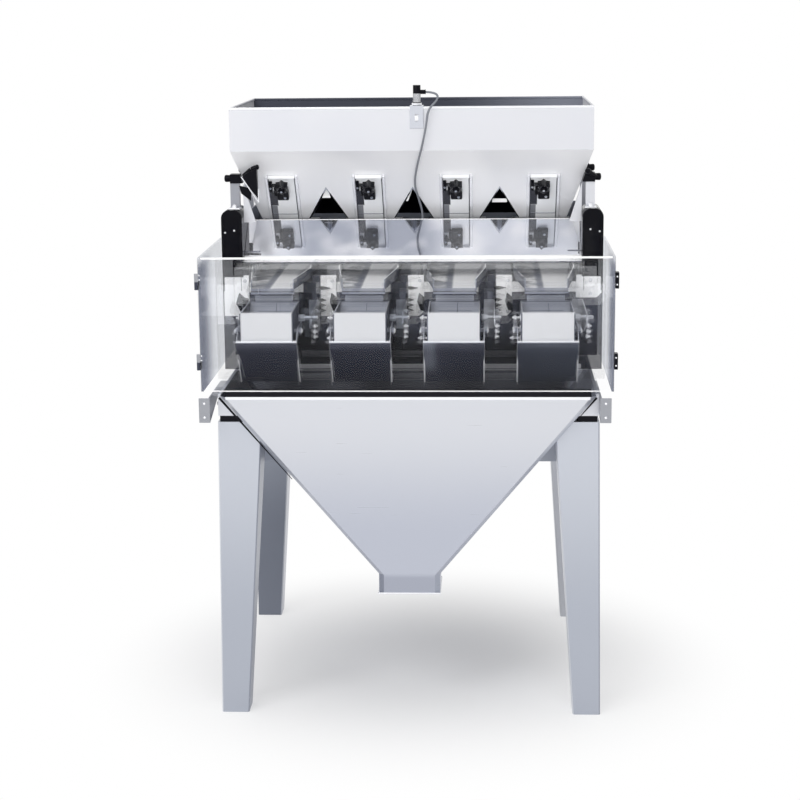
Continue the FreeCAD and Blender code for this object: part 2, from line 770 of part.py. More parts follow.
def gates():
    guides = []
    for number in HEADS:
        gate(number)
        x = head(number)
        for side in (-1, 1):
            guide = new_body(f"guide_{number}_{'left' if side < 0 else 'right'}")
            inner = f"{x} + {side} * (gate_width / 2 + gate_play)"
            slab(guide, "y", "-guide_depth", "0",
                 box((inner, "-gate_start - gate_length + guide_depth * 4"),
                     (f"{inner} + {side} * guide_width", "-gate_start")))
            on_slope(guide)
            guides.append(guide)
    group("gate_guides", guides)


def pan_outline(x, inset):
    """Plan of a pan, which widens from its tip to the cover."""
    half = f"(pan_width / 2 - {inset})"
    wide = f"(pan_width / 2 + pan_flare - {inset})"
    back = f"pan_back - {inset}"
    return [(f"{x} - {half}", "pan_front"), (f"{x} + {half}", "pan_front"),
            (f"{x} + {wide}", "cover_front"), (f"{x} + {wide}", back),
            (f"{x} - {wide}", back), (f"{x} - {wide}", "cover_front")]


def feeder_pans():
    """Feeder pans, low in front and high under the chutes, on their vibrating drives."""
    pans = []
    drives = []
    top = f"{HOPPER_BASE} - chute_gap"
    rim = f"{PAN_LOW} + pan_wall"
    for number in HEADS:
        x = head(number)
        pan = new_body(f"pan_{number}")
        slab(pan, "z", PAN_LOW, top, pan_outline(x, "0"))
        cut(pan, "z", f"{PAN_LOW} + pan_sheet", f"{top} + 1", pan_outline(x, "pan_sheet"))
        cut(pan, "x", f"{x} - pan_width", f"{x} + pan_width",
            [("pan_front - 1", rim), ("cover_front", rim), ("cover_back", top),
             ("cover_back", f"{top} + 1"), ("pan_front - 1", f"{top} + 1")])
        slab(pan, "y", "pan_front", "pan_front + pan_sheet",
             box((f"{x} - pan_width / 2", f"{PAN_LOW} - pan_lip"),
                 (f"{x} + pan_width / 2", f"{PAN_LOW} + pan_sheet")))
        pans.append(pan)
        drive = new_body(f"drive_{number}")
        slab(drive, "y", "drive_front", "drive_back",
             box((f"{x} - drive_width / 2", DECK), (f"{x} + drive_width / 2", PAN_LOW)))
        drives.append(drive)
    group("feeder_pans", pans)
    group("vibrator_drives", drives)


def pan_shelf():
    """Folded plate on the housing's front edge, cut out under the pans, with flaps beside them."""
    body = keep(new_body("pan_shelf"))
    inner = "housing_front + shelf_sheet"
    top = f"{DECK} + shelf_height"
    slab(body, "x", f"-{COVER_HALF} + seat_gap", f"{COVER_HALF} - seat_gap",
         [("housing_front", DECK), ("housing_front + shelf_foot", DECK),
          ("housing_front + shelf_foot", f"{DECK} + shelf_sheet"), (inner, f"{DECK} + shelf_sheet"),
          (inner, top), ("housing_front", top)])
    reach = "(pan_width / 2 + pan_flare + shelf_play)"
    for number in HEADS:
        cut(body, "y", "housing_front - 1", "housing_front + shelf_foot",
            box((f"{head(number)} - {reach}", f"{PAN_LOW} - 2 * shelf_play"),
                (f"{head(number)} + {reach}", f"{top} + 1")))
    low = f"{top} - flap_height"
    flaps = [(f"{head(number)} - {reach} - flap_width", f"{head(number)} - {reach}", low)
             for number in HEADS[1:]]
    flaps.append((f"shelf_sheet - {GUARD_INNER}", f"{head(1)} - {reach}", low))
    flaps.append((f"{head(4)} + {reach}", f"{GUARD_INNER} - shelf_sheet",
                  f"{BUCKET_TOP} - pusher_high + shelf_play"))
    for left, right, level in flaps:
        slab(body, "y", "housing_front - shelf_sheet", "housing_front",
             [(left, level), (f"{right} - flap_corner", level), (right, f"{level} + flap_corner"),
              (right, f"{top} - shelf_play"), (left, f"{top} - shelf_play")])


def back_line(z):
    """Place of the bucket's sloping back at a height."""
    return f"(mouth_back + (bucket_back - mouth_back) * (({z}) - {MOUTH_LOW}) / bucket_height)"


def weigh_buckets():
    """Open buckets with a hook plate behind and the pins that their doors turn on."""
    for number in HEADS:
        x = head(number)
        left = f"{x} - bucket_width / 2"
        right = f"{x} + bucket_width / 2"
        body = keep(new_body(f"weigh_bucket_{number}"))
        side = [("bucket_front", BUCKET_TOP), ("bucket_front", MOUTH_TOP),
                ("mouth_back", MOUTH_LOW), ("bucket_back", BUCKET_TOP)]
        slab(body, "x", left, f"{left} + bucket_sheet", side)
        slab(body, "x", left, right,
             box(("bucket_front", MOUTH_TOP), ("bucket_front + bucket_sheet", BUCKET_TOP)))
        slab(body, "x", left, right,
             [("mouth_back", MOUTH_LOW), ("bucket_back", BUCKET_TOP),
              ("bucket_back - bucket_sheet", BUCKET_TOP),
              ("mouth_back - bucket_sheet", f"{MOUTH_LOW} + bucket_sheet")])
        slab(body, "x", f"{right} - bucket_sheet", right, side)
        slab(body, "x", f"{x} - hook_width / 2", f"{x} + hook_width / 2",
             box(("bucket_back - bucket_sheet", f"{BUCKET_TOP} - bucket_sheet"),
                 ("bucket_back", f"{BUCKET_TOP} + hook_height")))
        nut = hexagon("pivot_y", PIVOT_Z, "pin_head")
        inner = "(door_width + pin_cap) / 2"
        outer = f"({inner} + pin_cap)"
        slab(body, "x", f"{x} - {outer}", f"{x} - {inner}", nut)
        slab(body, "x", f"{x} + {inner}", f"{x} + {outer}", nut)
        post(body, "x", f"{x} - {inner}", left, "pivot_y", PIVOT_Z, "pin_size")
        post(body, "x", right, f"{x} + {inner}", "pivot_y", PIVOT_Z, "pin_size")


def weigh_doors():
    """Door under a bucket's mouth. Its cheeks hang on the pins, and the right one has an arm."""
    run = "(mouth_back - bucket_front)"
    drop = "(bucket_height - bucket_face)"
    length = f"sqrt({run} ^ 2 + {drop} ^ 2)"

    def out(place, distance):
        """A point moved square away from the mouth's slope."""
        return (f"{place[0]} - ({distance}) * {drop} / {length}",
                f"{place[1]} - ({distance}) * {run} / {length}")

    top = ("bucket_front - 3 * door_gap", f"{MOUTH_TOP} + 3 * door_gap")
    low = ("mouth_back", MOUTH_LOW)
    crown = f"{PIVOT_Z} + pin_size"
    for number in HEADS:
        x = head(number)
        left = f"{x} - door_width / 2"
        right = f"{x} + door_width / 2"
        body = keep(new_body(f"weigh_door_{number}"))
        cheek = [out(top, "door_gap"), out(low, "door_gap + door_sheet"),
                 ("pivot_y + pin_size", f"{PIVOT_Z} - pin_size")]
        slab(body, "x", left, f"{left} + door_sheet",
             cheek + [("pivot_y + pin_size", crown), ("pivot_y - pin_size", crown)])
        slab(body, "x", left, right,
             [out(top, "door_gap"), out(top, "door_gap + door_sheet"),
              out(low, "door_gap + door_sheet"), out(low, "door_gap")])
        slab(body, "x", f"{right} - door_sheet", right,
             cheek + [("pivot_y + arm_length", PIVOT_Z), ("pivot_y + arm_length", crown),
                      ("pivot_y - pin_size", crown)])
        cut(body, "x", f"{left} - 1", f"{right} + 1",
            circle=("pivot_y", PIVOT_Z, "pin_size + 2 * pin_play"))


def bucket_hangers():
    """Hangers on the housing's face that carry the buckets."""
    hangers = []
    low = f"{BUCKET_TOP} - hanger_low"
    high = f"{BUCKET_TOP} - hanger_high"
    for number in HEADS:
        x = head(number)
        body = new_body(f"bucket_hanger_{number}")
        slab(body, "x", f"{x} - hanger_width / 2", f"{x} + hanger_width / 2",
             [("housing_front", low), ("housing_front", high),
              (f"{back_line(high)} + seat_gap", high), (f"{back_line(low)} + seat_gap", low)])
        hangers.append(body)
    group("bucket_hangers", hangers)


def door_pushers():
    """Arms on the housing whose rollers press on the doors' arms."""
    pushers = []
    roller_y = "(pivot_y + arm_length - roller_inset)"
    roller_z = f"({PIVOT_Z} + pin_size + roller_gap + roller_size / 2)"
    high = f"{BUCKET_TOP} - pusher_high"
    low = f"{BUCKET_TOP} - pusher_low"
    nose = f"{roller_y} - pusher_nose"
    for number in HEADS:
        x = head(number)
        plate = f"{x} + pusher_x"
        body = new_body(f"pusher_{number}")
        slab(body, "x", plate, f"{plate} + pusher_sheet",
             [("housing_front", low), ("housing_front", high), (f"{roller_y} + pusher_nose", high),
              (nose, f"{roller_z} + stud_size / 2"), (nose, f"{roller_z} - pusher_nose"),
              ("housing_front - pusher_foot * 2", low)])
        slab(body, "y", "housing_front - pusher_sheet", "housing_front",
             box((f"{plate} + pusher_sheet - pusher_foot", low), (f"{plate} + pusher_sheet", high)))
        inner = f"{x} + (door_width - roller_length) / 2"
        outer = f"{x} + (door_width + roller_length) / 2"
        post(body, "x", inner, outer, roller_y, roller_z, "roller_size")
        slab(body, "x", outer, f"{plate} + pusher_sheet + stud_reach",
             hexagon(roller_y, roller_z, "stud_size"))
        pushers.append(body)
    group("door_pushers", pushers)


def sensor():
    """Level sensor on a bent tab that hooks over the hopper's rim, and the gland of its cable."""
    tab = keep(new_body("sensor_bracket"))
    face = "hopper_front - tab_sheet - seat_gap"
    level = f"{HOPPER_RIM} + seat_gap"
    end = f"{HOPPER_RIM} - tab_height"
    slab(tab, "x", "sensor_x - tab_width / 2", "sensor_x + tab_width / 2",
         [(face, end), (face, f"{level} + tab_sheet"),
          (f"{face} + tab_reach", f"{level} + tab_sheet"), (f"{face} + tab_reach", level),
          ("hopper_front - seat_gap", level), ("hopper_front - seat_gap", end)])
    centre = "hopper_front + tab_reach / 2"
    cut(tab, "z", f"{HOPPER_RIM} - 1", f"{HOPPER_RIM} + 2 * tab_sheet",
        circle=("sensor_x", centre, "sensor_size + 2 * seat_gap"))
    cut(tab, "y", f"{face} - 1", "hopper_front",
        box(("sensor_x - tab_width / 8", f"{end} + tab_height / 3"),
            ("sensor_x + tab_width / 8", f"{end} + tab_height * 2 / 3")))
    barrel = keep(new_body("level_sensor"))
    plug = "sensor_x + sensor_size / 2"
    level = f"{HOPPER_RIM} + cable_lift"
    post(barrel, "z", f"{SENSOR_TOP} - sensor_length", SENSOR_TOP, "sensor_x", centre, "sensor_size")
    post(barrel, "x", "sensor_x", f"{plug} + sensor_plug", centre, level, "2 * cable_size")
    cut(barrel, "x", plug, f"{plug} + sensor_plug + 1",
        circle=(centre, level, "cable_size + 2 * seat_gap"))
    gland = keep(new_body("cable_gland"))
    post(gland, "z", DECK, f"{DECK} + gland_height", "gland_x", "gland_y", "gland_size")
    cut(gland, "z", f"{DECK} + gland_height / 4", f"{DECK} + gland_height + 1",
        circle=("gland_x", "gland_y", "cable_size + 2 * seat_gap"))


def cable_route():
    """Corners of the sensor's cable: over the rim, down the front and behind the cover."""
    deck = total("leg_height", "pad_height", "rail_height", "housing_height")
    fold = deck + total("hopper_lift", "slope_height")
    rim = fold + size("hopper_wall")
    face = size("hopper_front")
    stand = size("cable_stand")
    reach = size("cable_reach")
    sway = size("cable_sway")
    x = size("sensor_x")
    plug_x = x + size("sensor_size") / 2
    plug_y = face + size("tab_reach") / 2
    lift = rim + size("cable_lift")
    route = [(plug_x + reach * 0.03, plug_y, lift), (plug_x + reach, plug_y, lift),
             (plug_x + reach * 1.3, face - stand / 2, lift - stand),
             (plug_x + reach * 0.53, face - stand, rim - stand * 0.36)]
    for across, down in ((1, 0.4), (0.61, 0.84)):
        route.append((x + sway * across, face - stand, rim - size("hopper_wall") * down))
    for across, down in ((-0.13, 0.26), (-0.39, 0.5), (0, 0.69)):
        route.append((x + sway * across, face + size("slope_run") * down - stand * (1 - down / 3),
                      fold - size("slope_height") * down))
    gland = size("gland_x"), size("gland_y")
    fall = fold - size("slope_height") - deck
    route.append((x + sway * 0.43, gland[1] - stand * 0.7, deck + fall * 1.075))
    route.append((*gland, deck + fall * 0.72))
    route.append((gland[0], gland[1] + size("cable_size") / 10, deck + fall * 0.41))
    route.append((*gland, deck + size("gland_height") * 0.27))
    return [FreeCAD.Vector(*point) for point in route]


def sensor_cable():
    """Tube of straight runs joined by arcs that touch them."""
    points = cable_route()
    edges = []
    start = points[0]
    for before, corner, after in zip(points, points[1:], points[2:]):
        arrive = (corner - before).normalize()
        leave = (after - corner).normalize()
        half = arrive.getAngle(leave) / 2
        reach = 0.45 * min(before.distanceToPoint(corner), corner.distanceToPoint(after))
        radius = reach / math.tan(half)
        bisector = (leave - arrive).normalize()
        middle = corner + bisector * (radius / math.cos(half) - radius)
        edges.append(Part.LineSegment(start, corner - arrive * reach).toShape())
        edges.append(Part.Arc(corner - arrive * reach, middle, corner + leave * reach).toShape())
        start = corner + leave * reach
        print("cable radius", round(radius, 1))
    edges.append(Part.LineSegment(start, points[-1]).toShape())
    path = Part.Wire(edges)
    ring = Part.Wire(Part.makeCircle(size("cable_size") / 2, points[0], points[1] - points[0]))
    cable = doc.addObject("Part::Feature", "sensor_cable")
    cable.Shape = path.makePipeShell([ring], True, False)
    print("cable volume", round(cable.Shape.Volume),
          "section x length", round(math.pi * size("cable_size") ** 2 / 4 * path.Length))
    keep(cable)


def check_and_export():
    """Stop at a piece that has failed, and write the file of each piece."""
    doc.recompute()
    for thing in doc.Objects:
        if "Invalid" in thing.State or "Error" in thing.State:
            raise RuntimeError(f"{thing.Label} has failed: {thing.State}")
    os.makedirs("parts", exist_ok=True)
    for piece in pieces:
        if piece.Shape.isNull() or not piece.Shape.isValid():
            raise RuntimeError(f"{piece.Label} isn't a valid solid")
        piece.Shape.exportStep(f"parts/{piece.Label}.step")
        print(piece.Label, len(piece.Shape.Solids), round(piece.Shape.Volume))


def main():
    fill_sheet()
    legs()
    leg_pads()
    frame_rails()
    corner_brackets()
    control_cabinet()
    drive_housing()
    collecting_funnel()
    guard()
    guard_fittings()
    upper_cover()
    end_covers()
    rear_cover()
    hopper_supports()
    hopper_wall("hopper_front", True)
    hopper_wall("hopper_back", False)
    hopper_sides()
    hopper_dividers()
    gates()
    feeder_pans()
    pan_shelf()
    weigh_buckets()
    weigh_doors()
    bucket_hangers()
    door_pushers()
    sensor()
    sensor_cable()
    check_and_export()


main()
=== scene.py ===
import math

import bmesh
import bpy
from mathutils import Matrix, Vector


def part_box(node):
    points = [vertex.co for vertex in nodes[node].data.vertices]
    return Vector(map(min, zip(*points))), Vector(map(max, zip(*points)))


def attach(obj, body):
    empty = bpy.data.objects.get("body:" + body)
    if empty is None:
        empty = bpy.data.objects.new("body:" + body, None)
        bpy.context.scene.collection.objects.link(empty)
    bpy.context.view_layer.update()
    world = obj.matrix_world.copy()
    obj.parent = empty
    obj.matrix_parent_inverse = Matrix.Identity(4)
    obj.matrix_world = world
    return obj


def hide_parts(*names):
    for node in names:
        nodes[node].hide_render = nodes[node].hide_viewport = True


# Looks of a linear weigher with four heads, in metres. +Z is up and the front looks along -Y.
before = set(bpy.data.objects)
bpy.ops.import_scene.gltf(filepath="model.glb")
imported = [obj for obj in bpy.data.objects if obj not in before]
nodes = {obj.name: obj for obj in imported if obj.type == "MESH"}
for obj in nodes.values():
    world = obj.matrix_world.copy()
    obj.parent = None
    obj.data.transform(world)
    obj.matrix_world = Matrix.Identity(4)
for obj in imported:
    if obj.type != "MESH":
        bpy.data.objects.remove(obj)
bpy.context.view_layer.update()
print("frame loaded:", len(nodes), "nodes")

heads = {1: -0.315, 2: -0.105, 3: 0.105, 4: 0.315}
headPitch = 0.21
slopeNormal = (0, -0.7568, -0.6536)  # out of the hopper's sloping front


def linearColour(hexText):
    parts = [int(hexText[n:n + 2], 16) / 255 for n in (1, 3, 5)]
    return [c / 12.92 if c <= 0.04045 else ((c + 0.055) / 1.055) ** 2.4 for c in parts] + [1.0]


def addNode(tree, kind, settings=None, links=None):
    node = tree.nodes.new(kind)
    for key, value in (settings or {}).items():
        if isinstance(key, int) or key in node.inputs:
            node.inputs[key].default_value = value
        else:
            setattr(node, key, value)
    for key, source in (links or {}).items():
        tree.links.new(source, node.inputs[key])
    return node


def newFinish(name, colour, metallic, roughness, **extra):
    finish = bpy.data.materials.new(name)
    finish.use_nodes = True
    tree = finish.node_tree
    tree.nodes.clear()
    shader = addNode(tree, "ShaderNodeBsdfPrincipled", {
        "Base Color": linearColour(colour), "Metallic": metallic, "Roughness": roughness, **extra})
    addNode(tree, "ShaderNodeOutputMaterial", links={"Surface": shader.outputs["BSDF"]})
    return finish, tree, shader


def ramp(tree, value, low, high):
    # Rises softly from 0 at low to 1 at high. With low above high it falls instead.
    return addNode(tree, "ShaderNodeMapRange", {
        "interpolation_type": "SMOOTHSTEP", "From Min": low, "From Max": high},
        {"Value": value}).outputs["Result"]


def multiply(tree, first, second):
    return addNode(tree, "ShaderNodeMath", {"operation": "MULTIPLY"}, {0: first, 1: second}).outputs[0]


def headCoordinate(tree, x):
    # Distance from the middle of the nearest head, so that one pattern serves all four.
    moved = addNode(tree, "ShaderNodeMath", {"operation": "ADD", 1: headPitch * 2}, {0: x}).outputs[0]
    turn = addNode(tree, "ShaderNodeMath", {"operation": "FLOORED_MODULO", 1: headPitch}, {0: moved})
    return addNode(tree, "ShaderNodeMath", {"operation": "SUBTRACT", 1: headPitch / 2},
                   {0: turn.outputs[0]}).outputs[0]


def dot(tree, vector, direction):
    return addNode(tree, "ShaderNodeVectorMath", {"operation": "DOT_PRODUCT", 1: direction},
                   {0: vector}).outputs["Value"]


def addNoise(tree, vector, size, detail):
    return addNode(tree, "ShaderNodeTexNoise", {"Scale": 1 / size, "Detail": detail},
                   {"Vector": vector}).outputs["Fac"]


def addBumps(tree, shader, place, size, detail, strength, rise):
    bump = addNode(tree, "ShaderNodeBump", {"Strength": strength, "Distance": rise},
                   {"Height": addNoise(tree, place.outputs["Object"], size, detail)})
    tree.links.new(bump.outputs["Normal"], shader.inputs["Normal"])


def setSurface(tree, mix):
    output = next(node for node in tree.nodes if node.type == "OUTPUT_MATERIAL")
    tree.links.new(mix.outputs["Shader"], output.inputs["Surface"])


def tint(tree, base, place, zone):
    # Mixes one more tone into the colour, where the zone's ramps, facing and cloud all say so.
    spot, steps = place.outputs["Object"], []
    parts = addNode(tree, "ShaderNodeSeparateXYZ", links={0: spot})
    for axis, low, high in zone.get("ramps", ()):
        if axis == "head":
            value = headCoordinate(tree, parts.outputs["X"])
        elif axis == "outwards":
            value = dot(tree, spot, slopeNormal)
        else:
            value = parts.outputs[axis]
        steps.append(ramp(tree, value, low, high))
    if "facing" in zone:
        value = dot(tree, place.outputs["Normal"], zone["facing"])
        steps.append(ramp(tree, value, *zone.get("bend", (0.45, 0.75))))
    if "cloud" in zone:
        value = addNoise(tree, spot, zone["cloud"], 1.5)
        steps.append(ramp(tree, value, *zone.get("cover", (0.45, 0.6))))
    mask = steps[0]
    for step in steps[1:]:
        mask = multiply(tree, mask, step)
    scale = addNode(tree, "ShaderNodeMath", {"operation": "MULTIPLY", 1: zone.get("amount", 1.0)}, {0: mask})
    settings, links = {"data_type": "RGBA", 7: linearColour(zone["colour"])}, {0: scale.outputs[0]}
    if isinstance(base, str):
        settings[6] = linearColour(base)
    else:
        links[6] = base
    return addNode(tree, "ShaderNodeMix", settings, links).outputs[2]


def makeSteel(name, look):
    finish, tree, shader = newFinish(name, look["colour"], look["metallic"], look["roughness"])
    place = addNode(tree, "ShaderNodeTexCoord")
    colour = look["colour"]
    for zone in look.get("tones", ()):
        colour = tint(tree, colour, place, zone)
    if not isinstance(colour, str):
        tree.links.new(colour, shader.inputs["Base Color"])
    if "grain" in look:
        stretch = addNode(tree, "ShaderNodeMapping", {
            "Scale": [1 / size for size in look["grain"]]}, {"Vector": place.outputs["Object"]})
        spread = addNode(tree, "ShaderNodeMapRange", {
            "To Min": look["roughness"] - look["spread"], "To Max": look["roughness"] + look["spread"]},
            {"Value": addNoise(tree, stretch.outputs["Vector"], 1.0, 2.0)})
        tree.links.new(spread.outputs["Result"], shader.inputs["Roughness"])
    if "wave" in look:
        size, rise = look["wave"]
        addBumps(tree, shader, place, size, 1.0, 0.4, rise)
    return finish


up, down, forward, backward = (0, 0, 1), (0, 0, -1), (0, -1, 0), (0, 1, 0)
rightward, leftward = (1, 0, 0), (-1, 0, 0)

# Satin stainless sheet, ground and then brushed lightly: reflections melt into an even pale tone.
# Painted light: upright front faces are painted darker than the downward slope, which keeps a pale colour
# against its shade, and the lower left is painted paler; faces turned backwards carry painted shade.
# The inside of the hopper carries painted shade, and so does what shows through its notches.
hopperSheet = {
    "colour": "#fafafc", "metallic": 0.2, "roughness": 0.38, "spread": 0.05, "grain": (0.12, 0.12, 0.0015),
    "tones": [
        {"colour": "#dadbe0", "facing": forward, "bend": (0.85, 0.95)},
        {"colour": "#d2d4dc", "cloud": 0.22, "cover": (0.5, 0.75), "amount": 0.35},
        {"colour": "#f2f3f8", "ramps": [("X", -0.18, -0.42), ("Z", 1.24, 1.14)], "amount": 0.5},
        {"colour": "#8c909c", "facing": backward, "bend": (0.2, 0.5)},
    ],
}
# Painted shade: the back wall's inner face is dark, paler towards the right and black along its foot.
hopperInside = {
    "colour": "#dcdde3", "metallic": 0.3, "roughness": 0.4,
    "tones": [
        {"colour": "#4d505c", "facing": forward, "bend": (0.2, 0.5)},
        {"colour": "#9599a6", "facing": forward, "bend": (0.2, 0.5), "ramps": [("X", 0.05, 0.4)]},
        {"colour": "#12121a", "facing": forward, "bend": (0.2, 0.5), "ramps": [("Z", 1.215, 1.195)]},
    ],
}
# Painted shade on the ridge's underside, seen through the notches, with a patch of painted light high at its front.
ridgeSheet = {
    "colour": "#d5d7de", "metallic": 0.5, "roughness": 0.3,
    "tones": [
        {"colour": "#14141c", "facing": down, "bend": (-0.2, 0.1)},
        {"colour": "#c3c6cf", "facing": down, "bend": (-0.2, 0.1),
         "ramps": [("Z", 1.176, 1.186), ("Y", 0.13, 0.09)]},
    ],
}

# Mirror-polished stainless sheet: sharp reflections that wander a little, because thin sheet is
# never quite flat.
mirrorSheet = {"colour": "#d6d9e2", "metallic": 1.0, "roughness": 0.07, "wave": (0.11, 0.0012)}
# Painted reflections: a dark band across the middle, a greyer right end and pale clouds. Front faces get painted
# light, with a thin painted shade line just under the lip.
coverSheet = {
    "colour": "#eceef5", "metallic": 0.85, "roughness": 0.035, "wave": (0.12, 0.0005),
    "tones": [
        {"colour": "#a0a5b3", "ramps": [("X", -0.32, -0.24), ("X", 0.12, 0.02)], "amount": 0.8},
        {"colour": "#d3d7e1", "ramps": [("X", 0.1, 0.2)], "amount": 0.6},
        {"colour": "#fbfbfe", "cloud": 0.09, "cover": (0.42, 0.72), "amount": 0.8},
        {"colour": "#ffffff", "facing": forward, "bend": (0.8, 0.95)},
        {"colour": "#f0f1f5", "facing": down},
        {"colour": "#34373f", "facing": forward, "ramps": [("Z", 1.0225, 1.0218)]},
    ],
}
# Painted reflections and shade: dark stripes beside the gate's clamp, and black where its plate lies
# deepest, low down; on the pan, painted shade in the dark between the buckets.
gateSheet = {
    "colour": "#fafbfd", "metallic": 0.05, "roughness": 0.16,
    "tones": [
        {"colour": "#1d1f2b",
         "ramps": [("head", -0.0135, -0.015), ("head", -0.0315, -0.0305), ("Z", 1.19, 1.184), ("Z", 1.146, 1.15)]},
        {"colour": "#3c4150", "ramps": [("head", -0.0165, -0.018), ("Z", 1.15, 1.146)], "amount": 0.8},
        {"colour": "#0b0b12", "ramps": [("outwards", -0.7957, -0.7952), ("Z", 1.216, 1.214)]},
    ],
}
# The pan's painted reflections: dark clouds and a grey stripe on its floor beside a white painted highlight line;
# painted shade on its walls and front, and a dark painted shade line under its lip.
panSheet = {
    "colour": "#ffffff", "metallic": 0.05, "roughness": 0.45, "wave": (0.06, 0.0006),
    "tones": [
        {"colour": "#3d414e", "ramps": [("head", -0.002, -0.012), ("Y", -0.245, -0.225)], "cloud": 0.05,
         "cover": (0.38, 0.62), "amount": 0.85},
        {"colour": "#6b7080", "ramps": [("head", -0.026, -0.016), ("head", -0.002, -0.01)], "facing": up,
         "amount": 0.8},
        {"colour": "#ffffff", "ramps": [("head", 0.0, 0.004)], "facing": up},
        {"colour": "#646978", "facing": leftward, "amount": 0.8},
        {"colour": "#555966", "facing": rightward, "ramps": [("head", 0.045, 0.05)]},
        {"colour": "#8b8f9c", "facing": forward, "ramps": [("Y", -0.2, -0.22)]},
        {"colour": "#8d919e", "facing": forward, "ramps": [("Z", 0.9806, 0.98), ("Y", -0.2, -0.22)]},
        {"colour": "#1b1d27", "facing": forward, "ramps": [("Z", 0.9812, 0.9808), ("Z", 0.9786, 0.979)]},
    ],
}

# Glass-bead blasted stainless: an even, pale face without reflections. Its sides, the parts behind the front
# and the underside carry painted shade.
bucketSheet = {
    "colour": "#c2c3c6", "metallic": 0.12, "roughness": 0.45,
    "tones": [
        {"colour": "#9599a5", "ramps": [("Y", -0.36, -0.34)]},
        {"colour": "#13141c", "facing": rightward, "bend": (0.3, 0.45), "ramps": [("head", -0.045, -0.05)]},
        {"colour": "#5a5e6b", "facing": leftward, "ramps": [("head", 0.045, 0.05)]},
        {"colour": "#444856", "facing": rightward, "ramps": [("head", 0.05, 0.055)]},
        {"colour": "#3a3d4a", "facing": down, "bend": (0.3, 0.6)},
    ],
}

# Polished stainless with painted shade: its dark colour stands for the dark inside of the guard that it
# mirrors. A painted reflection lightens its right end and a pale stripe near the middle, and faces turned up
# are painted light.
doorSheet = {
    "colour": "#393c4b", "metallic": 0.5, "roughness": 0.16,
    "tones": [
        {"colour": "#474c5a", "ramps": [("X", 0.2, 0.3)]},
        {"colour": "#8a8e9b", "ramps": [("X", 0.075, 0.05), ("X", 0.02, 0.03), ("Z", 0.8, 0.83)], "amount": 0.5},
        {"colour": "#c9ccd6", "facing": up, "bend": (0.5, 0.8)},
    ],
}
# Painted shade on the housing's front faces, darkest low down, with pale painted reflections in bars beside each
# head and painted light along its front edge.
housingSheet = {
    "colour": "#c9ccd4", "metallic": 0.7, "roughness": 0.22,
    "tones": [
        {"colour": "#343744", "facing": forward},
        {"colour": "#6a6e7c", "facing": forward,
         "ramps": [("head", 0.073, 0.078), ("head", 0.09, 0.084), ("Z", 0.86, 0.9)]},
        {"colour": "#23252f", "facing": forward, "ramps": [("Z", 0.87, 0.84)]},
        {"colour": "#d5d8df", "facing": forward, "ramps": [("Y", -0.068, -0.0705)]},
    ],
}
# Satin sheet with painted light on its upper front faces, where daylight falls, and painted shade
# behind the buckets, between the heads, and underneath.
shelfSheet = {
    "colour": "#e6e6ea", "metallic": 0.25, "roughness": 0.35,
    "tones": [
        {"colour": "#ffffff", "facing": forward, "ramps": [("Z", 0.893, 0.896)]},
        {"colour": "#383b47", "facing": forward,
         "ramps": [("head", 0.052, 0.056), ("head", 0.0965, 0.0955), ("X", 0.36, 0.35), ("X", -0.41, -0.4)]},
        {"colour": "#4c505c", "facing": down, "bend": (0.3, 0.6)},
    ],
}
# Painted light and shade: paler towards the top and darker at the neck, side faces shaded unevenly, and painted
# shade on the inside, a little paler at the right end.
funnelSheet = {
    "colour": "#b9bdc9", "metallic": 0.45, "roughness": 0.3, "spread": 0.05, "grain": (0.1, 0.1, 0.0015),
    "tones": [
        {"colour": "#d2d4da", "ramps": [("Z", 0.42, 0.72)]},
        {"colour": "#a3a7b4", "ramps": [("Z", 0.34, 0.325)]},
        {"colour": "#8f94a2", "facing": leftward, "bend": (0.5, 0.8)},
        {"colour": "#aeb3c0", "facing": rightward, "bend": (0.5, 0.8)},
        {"colour": "#33353f", "facing": up, "bend": (0.02, 0.1)},
        {"colour": "#9a9eab", "facing": up, "bend": (0.02, 0.1), "ramps": [("X", 0.36, 0.4)]},
    ],
}

# Brushed stainless: the grain of a 240 grit belt is under 0.1 mm, so it is drawn 1.5 mm wide.
# Paler towards the top; painted light on faces to the left and painted shade on faces to the right.
legSheet = {
    "colour": "#b0b5c0", "metallic": 0.6, "roughness": 0.34, "spread": 0.07, "grain": (0.0015, 0.0015, 0.2),
    "tones": [
        {"colour": "#c6cad3", "ramps": [("Z", 0.2, 0.66)]},
        {"colour": "#e3e5ea", "facing": leftward, "amount": 0.6},
        {"colour": "#8e93a0", "facing": rightward, "amount": 0.8},
    ],
}
# The rear legs' dark colour is painted shade. They are paler towards the top, with painted light on faces to the
# right and on the right-hand legs.
rearLegSheet = {
    "colour": "#777c88", "metallic": 0.6, "roughness": 0.34, "spread": 0.07, "grain": (0.0015, 0.0015, 0.2),
    "tones": [
        {"colour": "#a0a5b0", "ramps": [("Z", 0.25, 0.6)]},
        {"colour": "#c9ccd4", "facing": rightward, "amount": 0.8},
        {"colour": "#ced0d6", "ramps": [("X", 0.1, 0.2)], "amount": 0.8},
    ],
}
# Painted light on front faces and painted shade on faces to the right.
frameSheet = {
    "colour": "#c8cbd3", "metallic": 0.55, "roughness": 0.3, "spread": 0.06, "grain": (0.2, 0.0015, 0.0015),
    "tones": [
        {"colour": "#e4e5ea", "facing": forward, "amount": 0.6},
        {"colour": "#9ea2ae", "facing": rightward, "amount": 0.6},
    ],
}
# A pale painted highlight down the post's front, on its inner side.
postSheet = {
    "colour": "#9c9ea6", "metallic": 0.5, "roughness": 0.3,
    "tones": [{"colour": "#e2e3e8", "ramps": [("Y", -0.0195, -0.0202), ("X", -0.4135, -0.412)]}],
}
